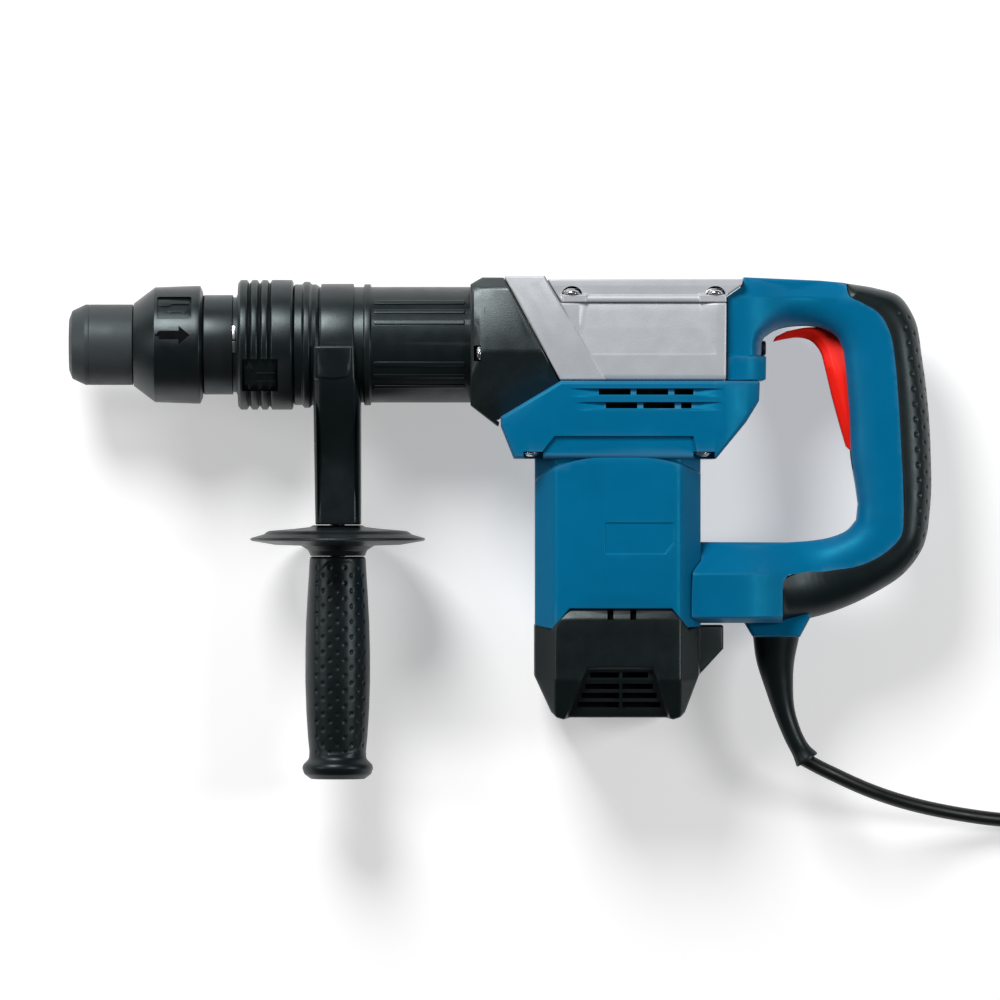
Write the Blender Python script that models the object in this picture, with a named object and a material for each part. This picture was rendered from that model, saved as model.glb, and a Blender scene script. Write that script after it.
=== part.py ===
"""Electric demolition hammer for 17 mm hexagonal chisels, lying on its left side.

Tool coordinates are in millimetres: a runs back from the nose along the barrel axis, h runs up
from that axis (towards the top of the tool in use) and s runs out to the tool's right-hand side.
In the scene a is +X, h is +Y and s is +Z, because the tool lies on its side.
"""

import math

import bmesh
import bpy
from mathutils import Vector

MM = 0.001

# Frame: the box of the tool without its cord is centred on X and Y and stands on Z = 0.
LENGTH = 471.0
TOP_H = 37.0
BOTTOM_H = -237.3
HALF_WIDTH = 48.0
MID_A = LENGTH / 2
MID_H = (TOP_H + BOTTOM_H) / 2

GAP = 0.3
ROUND = 20
ROUND_INNER = 14
ROUND_SMALL = 10

# Front end, on the barrel axis
HEX_ACROSS_FLATS = 17.3
CAP_REAR = 34.9
SLEEVE_REAR = 73.0
HOLDER_R = 18.0
NECK_FRONT = 73.4
NECK_R = 27.2
RING_FRONT = 92.3
RING_REAR = 122.4
RING_R = 35.5
BARREL_FRONT = 122.7
BARREL_REAR = 235.0
BARREL_R = 31.6
BARREL_BORE_R = 27.5
CYLINDER_R = 23.4
CYLINDER_BORE_R = 20.2
SPIGOT_R = 27.0
BOLT_BORE_R = 11.3

# Drive
MOTOR_A = 299.4
GEAR_MODULE = 1.25
PINION_TEETH = 8
GEAR_TEETH = 44
CRANK_A = MOTOR_A + GEAR_MODULE * (PINION_TEETH + GEAR_TEETH) / 2
THROW = 12.0
CRANK_PIN_A = CRANK_A - THROW
WRIST_PIN_A = 269.0
GEAR_H = (-44.0, -34.0)
CRANK_R = 18.0

# Casings
HOUSING_HALF = 43.5
COVER_HALF = 42.0
LID_WALL = 3.5
LID_H = 22.5
LEDGE_H = 26.9  # where the lid's screws sit
NOTCH_A = 224.7  # where the front cover's screws sit
MOTOR_HALF_A = 45.1
MOTOR_HALF_S = 46.0
MOTOR_FACET_A = 34.0
MOTOR_FACET_S = 30.0
MOTOR_WALL = 3.0
MOTOR_TOP_H = -62.8
MOTOR_BOTTOM_H = -152.8
FLANGE_TOP_H = -20.1
FLANGE_BOTTOM_H = -62.5
CAP_BOTTOM_H = -203.4

# D-handle
HANDLE_WALL = 3.0
GRIP_HALF = 19.0
SKIN = 3.0
TRIGGER_HALF = 9.0
TRIGGER_PIVOT = (431.0, -61.0)
PIVOT_PIN_R = 2.0

# Side handle
STEM_A = 146.6
STEM_HALF_A = 12.7
BAND_R = (32.2, 33.3)
DISC_R = 48.0

# Cord
CORD_D = 7.8
CORD_BEVEL_STEPS = 2
COIL_MEAN_R = 46.0
COIL_TURNS_WIDE = 4
COIL_LAYERS = 3
COIL_CENTRE = (352.0, -104.0)


def frame_point(a, h, s=0.0):
    """A point of the tool in the scene, in metres."""
    return Vector((a - MID_A, h - MID_H, HALF_WIDTH + s)) * MM


# Materials


def material(name, colour, roughness, metallic=0.0):
    made = bpy.data.materials.new(name)
    made.use_nodes = True
    shader = made.node_tree.nodes["Principled BSDF"]
    shader.inputs["Base Color"].default_value = (*colour, 1.0)
    shader.inputs["Roughness"].default_value = roughness
    shader.inputs["Metallic"].default_value = metallic
    made.diffuse_color = (*colour, 1.0)
    return made


def make_materials():
    return {
        "blue": material("blue_housing", (0.004, 0.105, 0.235), 0.5),
        "black": material("black_plastic", (0.012, 0.014, 0.015), 0.5),
        "rubber": material("black_rubber", (0.014, 0.017, 0.018), 0.75),
        "silver": material("cast_aluminium", (0.52, 0.54, 0.56), 0.45, 0.6),
        "steel": material("ground_steel", (0.55, 0.55, 0.56), 0.3, 1.0),
        "dark_steel": material("blackened_steel", (0.06, 0.06, 0.065), 0.45, 1.0),
        "copper": material("copper", (0.75, 0.33, 0.16), 0.35, 1.0),
        "carbon": material("carbon", (0.03, 0.03, 0.03), 0.7),
        "red": material("red_trigger", (0.85, 0.016, 0.008), 0.4),
    }


# Mesh helpers


def prism(outline, low, high, plane="ah", chamfer=0.0):
    """A closed prism of an outline in one plane, between two levels across it."""
    levels = [(low, 0.0), (high, 0.0)]
    if chamfer:
        levels = [(low, chamfer), (low + chamfer, 0.0), (high - chamfer, 0.0), (high, chamfer)]
    return loft([(level, inset(outline, depth)) for level, depth in levels], plane)


def loft(levels, plane):
    """A closed solid through outlines with equal numbers of points, each at its own level."""
    order = {"ah": (0, 1, 2), "as": (0, 2, 1), "hs": (2, 0, 1)}[plane]
    mesh = bmesh.new()
    rings = []
    for level, outline in levels:
        rings.append([mesh.verts.new([(u, v, level)[i] for i in order]) for u, v in outline])
    count = len(rings[0])
    for lower, upper in zip(rings, rings[1:]):
        for i in range(count):
            j = (i + 1) % count
            mesh.faces.new((lower[i], lower[j], upper[j], upper[i]))
    mesh.faces.new(rings[0][::-1])
    mesh.faces.new(rings[-1])
    return mesh


def turned(profile, axis, centre, sides=ROUND):
    """A turned solid; profile points are (along the axis, radius), closed if it never meets it."""
    mesh = bmesh.new()
    rings = []
    for along, radius in profile:
        angles = [2 * math.pi * i / sides for i in range(sides if radius else 1)]
        spots = [(radius * math.cos(t), radius * math.sin(t)) for t in angles]
        rings.append([mesh.verts.new(on_axis(axis, centre, along, u, v)) for u, v in spots])
    if profile[0][1] and profile[-1][1]:
        rings.append(rings[0])
    for first, second in zip(rings, rings[1:]):
        for i in range(sides):
            j = (i + 1) % sides
            corners = [first[i % len(first)], first[j % len(first)]]
            corners += [second[j % len(second)], second[i % len(second)]]
            mesh.faces.new(list(dict.fromkeys(corners)))
    return mesh


def on_axis(axis, centre, along, u, v):
    """A point at a distance along an axis and at (u, v) across it."""
    if axis == "a":
        return along, centre[0] + u, centre[1] + v
    if axis == "h":
        return centre[0] + u, along, centre[1] + v
    return centre[0] + u, centre[1] + v, along


def rod(axis, centre, low, high, radius, sides=ROUND_SMALL):
    return turned([(low, 0), (low, radius), (high, radius), (high, 0)], axis, centre, sides)


def tube(axis, centre, low, high, bore, radius, sides=ROUND):
    profile = [(low, bore), (low, radius), (high, radius), (high, bore)]
    return turned(profile, axis, centre, sides)


def box(a, h, s):
    return prism([(a[0], h[0]), (a[1], h[0]), (a[1], h[1]), (a[0], h[1])], s[0], s[1])


def inset(outline, depth):
    """The outline moved inwards by a depth, or outwards if that is negative."""
    if not depth:
        return list(outline)
    points = [Vector(p) for p in outline]
    count = len(points)
    area = sum(points[i - 1].cross(points[i]) for i in range(count))
    side = math.copysign(1.0, area)
    moved = []
    for i, point in enumerate(points):
        before = (point - points[i - 1]).normalized()
        after = (points[(i + 1) % count] - point).normalized()
        normal = Vector((-before.y - after.y, before.x + after.x)).normalized() * side
        spread = max(normal.dot(Vector((-before.y, before.x)) * side), 0.4)
        moved.append(tuple(point + normal * depth / spread))
    return moved


def smooth(points, steps=2):
    """Points on a smooth open curve through the given ones."""
    spots = [Vector(p) for p in points]
    chords = [(b - a).length for a, b in zip(spots, spots[1:])]
    slopes = [(b - a) / d for a, b, d in zip(spots, spots[1:], chords)]
    tangents = [slopes[0]]
    for i in range(1, len(spots) - 1):
        share = chords[i] / (chords[i - 1] + chords[i])
        tangents.append(slopes[i - 1] * share + slopes[i] * (1 - share))
    tangents.append(slopes[-1])
    curve = []
    for i, chord in enumerate(chords):
        for k in range(steps):
            t = k / steps
            rise, fall = t * (1 - t) ** 2, t * t * (1 - t)
            ease = t * t * (3 - 2 * t)
            curve.append(
                tuple(
                    spots[i].lerp(spots[i + 1], ease)
                    + (tangents[i] * rise - tangents[i + 1] * fall) * chord
                )
            )
    return [*curve, tuple(spots[-1])]


def mirrored(half):
    """A closed outline from its half with v above 0, mirrored in v."""
    return [*half, *[(u, -v) for u, v in reversed(half)]]


def octagon(half_a, half_s, facet_a, facet_s, centre=MOTOR_A):
    quarter = [(half_a, facet_s), (facet_a, half_s)]
    half = [*quarter, *[(-a, s) for a, s in reversed(quarter)]]
    return [(centre + a, s) for a, s in mirrored(half)]


# Objects


def place(name, mesh, origin, made=None):
    """Links a mesh in tool coordinates as an object whose origin is at a tool point."""
    start = Vector(origin)
    for vertex in mesh.verts:
        vertex.co = (vertex.co - start) * MM
    bmesh.ops.recalc_face_normals(mesh, faces=mesh.faces)
    data = bpy.data.meshes.new(name)
    mesh.to_mesh(data)
    mesh.free()
    item = bpy.data.objects.new(name, data)
    item.location = frame_point(*origin)
    bpy.context.scene.collection.objects.link(item)
    if made:
        data.materials.append(made)
        data.shade_smooth()
        data.set_sharp_from_angle(angle=math.radians(35))
    return item


def node(name, mesh, made, origin=(MID_A, MID_H, 0.0)):
    """A visible object, in the middle of the tool's box or on its own axis."""
    return place(name, mesh, origin, made)


def change(item, operation, *meshes):
    """Adds a Boolean to an object for each mesh, which becomes a hidden tool object."""
    for mesh in meshes:
        tool = mesh
        if isinstance(mesh, bmesh.types.BMesh):
            tool = place(f"tool_{item.name}_{len(item.modifiers)}", mesh, (0.0, 0.0, 0.0))
            tool.hide_render = True
            tool.display_type = "WIRE"
        boolean = item.modifiers.new(operation.lower(), "BOOLEAN")
        boolean.operation = operation
        boolean.solver = "EXACT"
        boolean.object = tool


def cut(item, *meshes):
    change(item, "DIFFERENCE", *meshes)


def join(item, *meshes):
    change(item, "UNION", *meshes)


def keep(item, *meshes):
    change(item, "INTERSECT", *meshes)


def hidden(name, mesh):
    """A tool object with Booleans of its own."""
    tool = place(name, mesh, (0.0, 0.0, 0.0))
    tool.hide_render = True
    tool.display_type = "WIRE"
    return tool


def screw(name, made, centre, seat, side, head_r, shank_r, length, axis="s"):
    """A pan-head screw; side is +1 or -1, the way its head faces from the seat."""
    rise = 0.55 * head_r
    profile = [(-length, 0), (-length, shank_r), (0, shank_r), (0, head_r)]
    profile += [(0.5 * rise, head_r), (rise, 0.6 * head_r), (rise, 0)]
    levels = [(seat + side * along, radius) for along, radius in profile]
    return node(name, turned(levels, axis, centre, ROUND_SMALL), made)


# Tool holder and what turns with it


def hexagon(across_flats):
    """A regular hexagon round the barrel axis."""
    corner = across_flats / math.sqrt(3)
    angles = [k * math.pi / 3 for k in range(6)]
    return [(corner * math.cos(t), corner * math.sin(t)) for t in angles]


def build_front(looks):
    axis_origin = (60.0, 0.0, 0.0)
    axis = (0.0, 0.0)
    cap = [(0.3, 15.0), (3.6, 19.0), (7.9, 22.0), (CAP_REAR, 22.0), (CAP_REAR, 14.9)]
    cap += [(3.7, 14.9), (3.7, 10.6), (0.0, 10.6), (0.0, 14.6)]
    node("dust_cap", turned(cap, "a", axis), looks["rubber"], axis_origin)

    holder = [(4.0, 7.0), (4.0, 14.6), (35.2, 14.6), (35.2, HOLDER_R), (NECK_FRONT, HOLDER_R)]
    holder += [(NECK_FRONT, NECK_R - 0.6), (NECK_FRONT + 0.6, NECK_R), (121.5, NECK_R)]
    holder += [(123.0, 27.0), (150.0, 27.0), (150.0, BOLT_BORE_R), (79.0, BOLT_BORE_R), (79.0, 7.0)]
    item = node("tool_holder", turned(holder, "a", axis), looks["dark_steel"], axis_origin)
    cut(item, prism(hexagon(HEX_ACROSS_FLATS), 1.0, 80.0, "hs"))
    cut(item, box((42.2, 49.8), (4.0, 19.0), (-5.4, 5.4)))
    roller = rod("s", (46.0, 13.9), -5.0, 5.0, 3.2)
    node("lock_roller", roller, looks["steel"], (46.0, 13.9, 0.0))

    sleeve = [(35.4, 18.4), (35.4, 22.0), (46.8, 31.4), (70.9, 32.0), (SLEEVE_REAR, 28.8)]
    sleeve += [(SLEEVE_REAR, 27.7), (51.5, 27.7), (51.5, 18.4)]
    node("lock_sleeve", turned(sleeve, "a", axis), looks["black"], axis_origin)
    spring("lock_spring", looks["steel"], 22.8, 1.1, 52.9, 72.0, 3)

    crest, root = RING_R, 33.2
    ring = [(RING_FRONT, NECK_R + 0.5), (RING_FRONT, 34.2), (93.6, crest)]
    for groove in (98.5, 104.1, 109.0):
        ring += [(groove - 1.2, crest), (groove, root), (groove + 1.2, crest)]
    ring += [(121.6, crest), (RING_REAR, 34.7), (RING_REAR, NECK_R + 0.5)]
    node("adjusting_ring", turned(ring, "a", axis), looks["black"], axis_origin)

    anvil = [(84.5, 0), (84.5, 7.2), (85.5, 8.2), (98, 8.2), (100, 11.0), (130, 11.0)]
    anvil += [(132, 8.5), (149, 8.5), (150, 7.6), (150, 0)]
    node("impact_bolt", turned(anvil, "a", axis, ROUND_SMALL), looks["steel"], (117.0, 0.0, 0.0))


def spring(name, made, radius, wire_r, low, high, turns):
    """A helical spring on the barrel axis."""
    steps, sides = 8 * turns, 4
    mesh = bmesh.new()
    rings = []
    for i in range(steps + 1):
        angle = 2 * math.pi * turns * i / steps
        along = low + (high - low) * i / steps
        out = Vector((0.0, math.cos(angle), math.sin(angle)))
        ring = []
        for k in range(sides):
            turn = 2 * math.pi * k / sides
            spot = out * (radius + wire_r * math.cos(turn))
            ring.append(mesh.verts.new((along + wire_r * math.sin(turn), spot.y, spot.z)))
        rings.append(ring)
    for first, second in zip(rings, rings[1:]):
        for k in range(sides):
            j = (k + 1) % sides
            mesh.faces.new((first[k], first[j], second[j], second[k]))
    mesh.faces.new(rings[0][::-1])
    mesh.faces.new(rings[-1])
    node(name, mesh, made, (low, 0.0, 0.0))


# Barrel, striking mechanism and crank


def build_striker(looks):
    axis = (0.0, 0.0)
    barrel = [(BARREL_FRONT, BARREL_BORE_R), (BARREL_FRONT, 32.2), (123.4, 33.0), (127.2, 33.0)]
    barrel += [(128.4, 34.5), (131.4, 34.5), (132.6, 33.0), (135.0, 33.0), (136.9, BARREL_R)]
    barrel += [(161.3, BARREL_R), (161.3, 33.1), (164.7, 33.1), (164.7, BARREL_R)]
    barrel += [(BARREL_REAR, BARREL_R), (BARREL_REAR, BARREL_BORE_R)]
    node("barrel_sleeve", turned(barrel, "a", axis), looks["black"])

    cylinder = tube("a", axis, 151.0, 305.5, CYLINDER_BORE_R, CYLINDER_R)
    node("cylinder_tube", cylinder, looks["steel"])
    ram = [(186.5, 0), (186.5, 8), (193, 9), (193, 19.0), (194, 19.9), (237, 19.9)]
    ram += [(238, 19), (238, 0)]
    node("striker", turned(ram, "a", axis), looks["steel"], (212.0, 0.0, 0.0))

    skirt = [(248, 0), (248, 19), (249, 19.9), (282, 19.9), (282, 15.6), (257, 15.6), (257, 0)]
    item = node("piston", turned(skirt, "a", axis), looks["silver"], (WRIST_PIN_A, 0.0, 0.0))
    cut(item, rod("h", (WRIST_PIN_A, 0.0), -25.0, 25.0, 4.8))
    pin = rod("h", (WRIST_PIN_A, 0.0), -18.5, 18.5, 4.5)
    node("wrist_pin", pin, looks["steel"], (WRIST_PIN_A, 0.0, 0.0))
    beam = tube("h", (WRIST_PIN_A, 0.0), -5.5, 5.5, 4.8, 9.0)
    item = node("connecting_rod", beam, looks["silver"], (WRIST_PIN_A, 0.0, 0.0))
    join(item, box((WRIST_PIN_A + 7.5, CRANK_PIN_A - 7.0), (-4.5, 4.5), (-4.2, 4.2)))
    join(item, tube("h", (CRANK_PIN_A, 0.0), -5.4, 5.4, 5.3, 8.5))
    pin = rod("h", (CRANK_PIN_A, 0.0), -11.2, 8.0, 5.0)
    node("crank_pin", pin, looks["steel"], (CRANK_PIN_A, 0.0, 0.0))

    crank = [(-58.0, 0), (-58.0, 8.0), (-19.0, 8.0), (-19.0, CRANK_R), (-11.5, CRANK_R)]
    crank += [(-11.5, 0)]
    crank_origin = (CRANK_A, -30.0, 0.0)
    shaft = turned(crank, "h", (CRANK_A, 0.0), ROUND_INNER)
    node("crankshaft", shaft, looks["dark_steel"], crank_origin)
    teeth = gear_outline(GEAR_TEETH, (CRANK_A, 0.0))
    item = node("crank_gear", prism(teeth, *GEAR_H, "as"), looks["steel"], crank_origin)
    cut(item, rod("h", (CRANK_A, 0.0), -50.0, -30.0, 8.3, ROUND_INNER))
    for name, low, high in (("upper", -30.6, -21.6), ("lower", -57.8, -48.2)):
        bearing = tube("h", (CRANK_A, 0.0), low, high, 8.3, 16.0, ROUND_INNER)
        node(f"crank_bearing_{name}", bearing, looks["steel"])


def gear_outline(teeth, centre):
    """Teeth cut below the pitch circle only, so that two gears run 0.3 mm apart."""
    pitch_r = GEAR_MODULE * teeth / 2
    crest, root = pitch_r - 0.15, pitch_r - 1.15 * GEAR_MODULE
    outline = []
    for k in range(teeth):
        for share, radius in ((0.0, root), (0.3, crest), (0.75, crest)):
            angle = 2 * math.pi * (k + share) / teeth
            u, v = radius * math.cos(angle), radius * math.sin(angle)
            outline.append((centre[0] + u, centre[1] + v))
    return outline


# Gear housing, its lid and the front cover


def build_housings(looks):
    axis = (0.0, 0.0)
    side = [(237.2, TOP_H), (260.0, TOP_H), (268.4, LID_H - 0.2), (358.5, LID_H - 0.2)]
    side += [(358.2, -19.6), (267.9, -19.6)]
    item = node("gear_housing", prism(side, -HOUSING_HALF, HOUSING_HALF, "ah", 1.5), looks["silver"])
    join(item, box((274.0, 353.5), (-31.0, -18.0), (-30.0, 30.0)))
    join(item, rod("a", axis, 205.0, 252.0, SPIGOT_R, ROUND))
    angles = [math.radians(t) for t in range(108, 253, 18)]
    saddle = [(SPIGOT_R * math.cos(t), SPIGOT_R * math.sin(t)) for t in angles]
    join(item, prism(saddle, 245.0, 280.0, "hs"))
    for a in (274.5, 352.5):
        for out in (-1, 1):
            lug = sorted((out * 31.0, out * (HOUSING_HALF - LID_WALL - 0.3)))
            join(item, box((a - 4.8, a + 4.8), (20.0, LEDGE_H - 2.3), lug))
    for out in (-1, 1):
        cut(item, side_panel(out))
    cut(item, rod("a", axis, 200.0, 313.0, CYLINDER_R + GAP, ROUND))
    cut(item, rod("h", (CRANK_A, 0.0), -20.8, 30.0, CRANK_R + 3.3, ROUND))
    cut(item, rod("h", (CRANK_A, 0.0), -40.0, -15.0, 16.3, ROUND))
    cut(item, rod("h", (MOTOR_A, 0.0), -40.0, -26.5, 6.0))

    lid = [(261.0, 35.6), (367.5, 35.4), (367.0, 31.8), (358.6, 25.7), (358.6, LID_H + 0.1)]
    lid += [(268.7, LID_H + 0.1)]
    cap = node("gear_lid", prism(lid, -HOUSING_HALF, HOUSING_HALF, "ah", 1.0), looks["silver"])
    inner = HOUSING_HALF - LID_WALL
    cut(cap, box((267.9, 358.0), (10.0, 31.6), (-inner, inner)))

    for index, (a, out) in enumerate(((274.5, 1), (352.5, 1), (274.5, -1), (352.5, -1)), 1):
        where = (a, out * 36.6)
        block = (a - 6.5, min(a + 6.5, 358.3))
        join(cap, box(block, (LEDGE_H - 2.0, 32.0), sorted((out * 31.0, out * 41.0))))
        cut(cap, box((a - 5.6, a + 5.6), (LEDGE_H, 31.0), sorted((out * 32.2, out * 50.0))))
        for piece in (item, cap):
            cut(piece, rod("h", where, 20.7, LEDGE_H + 1.0, 2.3))
        screw(f"lid_screw_{index}", looks["steel"], where, LEDGE_H + GAP, 1, 4.5, 1.9, 6.0, "h")
    build_front_cover(looks)


def side_panel(out):
    """The sunk panel in one side of the gear housing, as the space it takes away."""
    rim = [(268.6, LID_H + 4.0), (353.0, LID_H + 4.0), (353.0, -5.4), (284.2, -5.4)]
    floor = [(283.5, LID_H + 4.0), (343.0, LID_H + 4.0), (343.0, 8.6), (283.8, 8.6)]
    levels = [(HOUSING_HALF - 6.5, floor), (HOUSING_HALF + 0.01, rim), (HOUSING_HALF + 3.0, rim)]
    return loft([(out * level, outline) for level, outline in levels], "ah")


def build_front_cover(looks):
    axis = (0.0, 0.0)
    side = [(219.4, 31.8), (226.2, 36.3), (236.7, 36.3), (267.3, -19.8), (234.9, -39.0)]
    side += [(234.4, -45.0), (219.2, -33.0)]
    item = node("front_cover", prism(side, -COVER_HALF, COVER_HALF, "ah", 2.0), looks["black"])
    plan = [(219.0, 36.0), (226.2, COVER_HALF + 1), (280.0, COVER_HALF + 1)]
    keep(item, prism(mirrored(plan), -60.0, 60.0, "as"))
    hollow = [(222.7, 29.8), (227.4, 33.0), (260.0, 33.0), (290.0, -16.0), (250.0, -60.0)]
    hollow += [(236.5, -44.0), (222.7, -31.5)]
    cut(item, prism(hollow, -COVER_HALF + 3.0, COVER_HALF - 3.0))
    for out in (-1, 1):
        join(item, box((219.9, 229.0), (-12.0, 2.5), sorted((out * 32.6, out * 40.5))))
    cut(item, rod("a", axis, 200.0, 240.0, BARREL_R + GAP, ROUND))
    for index, out in enumerate((1, -1), 1):
        where = (-5.0, out * 37.6)
        cut(item, box((218.0, NOTCH_A), (-9.6, -0.6), sorted((out * 33.6, out * 50.0))))
        cut(item, rod("a", where, NOTCH_A - 1.0, 228.7, 1.9))
        seat = NOTCH_A - GAP
        screw(f"front_screw_{index}", looks["steel"], where, seat, -1, 3.25, 1.5, 4.0, "a")


# Flange, motor housing and motor


def build_motor(looks):
    side = [(268.2, FLANGE_TOP_H), (376.6, FLANGE_TOP_H), (376.3, -32.4), (367.7, -44.6)]
    side += [(352.5, FLANGE_BOTTOM_H), (242.8, FLANGE_BOTTOM_H), (235.8, -43.5), (235.6, -39.5)]
    flange = prism(side, -HALF_WIDTH, HALF_WIDTH, "ah", 3.0)
    item = node("intermediate_flange", flange, looks["blue"])
    hollow = [(272.0, -14.0), (372.3, -14.0), (372.3, -31.2), (364.3, -42.3), (350.6, -58.5)]
    hollow += [(245.5, -58.5), (239.8, -43.4), (239.8, -42.2), (272.0, -23.1)]
    cut(item, prism(hollow, -HALF_WIDTH + 4.0, HALF_WIDTH - 4.0))
    cut(item, rod("a", (0.0, 0.0), 230.0, 282.0, 27.4, ROUND))
    cut(item, box((264.0, 335.0), (-66.0, -55.0), (-37.0, 37.0)))
    rows = (((288.8, 305.9), (309.7, 326.4), (329.8, 340.2)), (-28.4, -24.7))
    rows = (rows, (((292.6, 309.7), (313.4, 329.8), (333.6, 339.1)), (-35.4, -32.1)))
    for slots, heights in rows:
        for slot in slots:
            cut(item, box(slot, heights, (-60.0, 60.0)))

    plate = octagon(46.0, 43.6, 36.0, 34.0, 302.0)
    web = node("bearing_plate", prism(plate, -58.1, -48.0, "as"), looks["silver"])
    cut(web, rod("h", (MOTOR_A, 0.0), -70.0, -40.0, 13.3, ROUND))
    cut(web, rod("h", (CRANK_A, 0.0), -70.0, -40.0, 16.3, ROUND))

    outer = octagon(MOTOR_HALF_A, MOTOR_HALF_S, MOTOR_FACET_A, MOTOR_FACET_S)
    shell = prism(outer, MOTOR_BOTTOM_H, MOTOR_TOP_H, "as")
    item = node("motor_housing", shell, looks["blue"])
    cut(item, prism(inset(outer, MOTOR_WALL), -160.0, -50.0, "as"))
    notch = [(264.0, -160.0), (264.0, -152.4), (273.0, -143.1), (329.0, -143.1), (336.6, -152.4)]
    notch += [(336.6, -160.0)]
    cut(item, prism(notch, -60.0, 60.0))

    corners = ((253.4, 1), (345.4, 1), (253.4, -1), (345.4, -1))
    for index, (a, out) in enumerate(corners, 1):
        where = (a, out * 41.5)
        cut(bpy.data.objects["intermediate_flange"], rod("h", where, -70.0, -50.0, 2.3))
        seat = FLANGE_BOTTOM_H - GAP
        screw(f"flange_screw_{index}", looks["steel"], where, seat, -1, 4.0, 2.0, 3.6, "h")
    build_end_cap(looks)
    build_armature(looks)


def cap_outline(front, rear, half_s, facet):
    """An (a, s) outline with its corners cut off."""
    half = [(rear, half_s - facet * 1.4), (rear - facet, half_s), (front + facet, half_s)]
    return mirrored([*half, (front, half_s - facet * 1.4)])


def build_end_cap(looks):
    top = MOTOR_BOTTOM_H - GAP
    levels = [(top, cap_outline(253.9, 344.9, MOTOR_HALF_S, 11.2))]
    levels += [(-180.4, cap_outline(253.9, 343.2, MOTOR_HALF_S, 11.2))]
    levels += [(-201.4, cap_outline(263.4, 335.7, 40.0, 9.0))]
    levels += [(CAP_BOTTOM_H, cap_outline(266.4, 333.0, 37.5, 8.0))]
    item = node("motor_end_cap", loft(levels, "as"), looks["black"])
    hollow = [(-150.0, levels[0][1]), (-180.4, levels[1][1]), (-199.5, levels[2][1])]
    hollow = [(level, inset(outline, MOTOR_WALL)) for level, outline in hollow]
    cut(item, loft(hollow, "as"))
    for low in (-183.0, -188.0, -193.0, -198.0):
        reach = 17.0 + 0.28 * (-180.0 - low)
        for slot in ((MOTOR_A - reach, MOTOR_A - 1.5), (MOTOR_A + 1.5, MOTOR_A + reach)):
            cut(item, box(slot, (low, low + 2.6), (-60.0, 60.0)))
    join(item, tube("h", (MOTOR_A, 0.0), -201.0, -176.0, 13.3, 16.5))
    tab = [(264.6, -156.0), (264.6, -152.7), (273.3, -143.4), (328.7, -143.4), (336.2, -152.7)]
    tab += [(336.2, -156.0)]
    for out in (-1, 1):
        join(item, prism(tab, *sorted((out * 43.0, out * (MOTOR_HALF_S - 0.02)))))
    foot = [(340.0, -153.0), (357.0, -153.0), (357.0, -165.8), (343.4, -179.4), (340.0, -179.4)]
    join(item, prism(foot, -24.0, 24.0))


def build_armature(looks):
    centre = (MOTOR_A, 0.0)
    origin = (MOTOR_A, -100.0, 0.0)
    shaft = [(-33.5, 0), (-33.5, 3.2), (-47.0, 3.2), (-47.0, 5.0), (-185.0, 5.0), (-185.0, 0)]
    item = node("armature_shaft", turned(shaft, "h", centre, ROUND_SMALL), looks["steel"], origin)
    join(item, prism(gear_outline(PINION_TEETH, centre), GEAR_H[0] - 1.0, GEAR_H[1] + 0.2, "as"))
    core = [(-84.0, 5.3), (-84.0, 24.0), (-132.0, 24.0), (-138.0, 13.0), (-166.0, 13.0)]
    core += [(-166.0, 5.3)]
    node("armature_winding", turned(core, "h", centre, ROUND_INNER), looks["copper"], origin)
    blades = []
    for k in range(9):
        for share, radius in ((0.0, 10.0), (0.72, 10.0), (0.75, 33.0), (0.82, 33.0)):
            angle = 2 * math.pi * (k + share) / 9
            blades.append((MOTOR_A + radius * math.cos(angle), radius * math.sin(angle)))
    disc = tube("h", centre, -79.0, -77.0, 5.3, 34.0, ROUND_INNER)
    item = node("cooling_fan", disc, looks["black"], origin)
    join(item, prism(blades, -77.5, -69.0, "as"))
    cut(item, rod("h", centre, -90.0, -60.0, 5.6))
    for name, low, high in (("upper", -58.0, -49.0), ("lower", -184.6, -176.6)):
        bearing = tube("h", centre, low, high, 5.3, 13.0, ROUND_INNER)
        node(f"motor_bearing_{name}", bearing, looks["steel"])
    field = tube("h", centre, -134.0, -82.0, 24.8, 41.7, ROUND_INNER)
    node("stator", field, looks["dark_steel"])
    plate = tube("h", centre, -168.0, -165.0, 17.0, 40.0, ROUND_INNER)
    item = node("brush_plate", plate, looks["black"])
    for index, out in enumerate((-1, 1), 1):
        a = sorted((MOTOR_A + out * 17.5, MOTOR_A + out * 38.0))
        join(item, box(a, (-165.5, -150.0), (-7.0, 7.0)))
        past = sorted((MOTOR_A + out * 10.0, MOTOR_A + out * 50.0))
        cut(item, box(past, (-162.3, -151.7), (-5.0, 5.0)))
        a = sorted((MOTOR_A + out * 13.4, MOTOR_A + out * 32.0))
        node(f"carbon_brush_{index}", box(a, (-162.0, -152.0), (-4.7, 4.7)), looks["carbon"])


# D-handle


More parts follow.
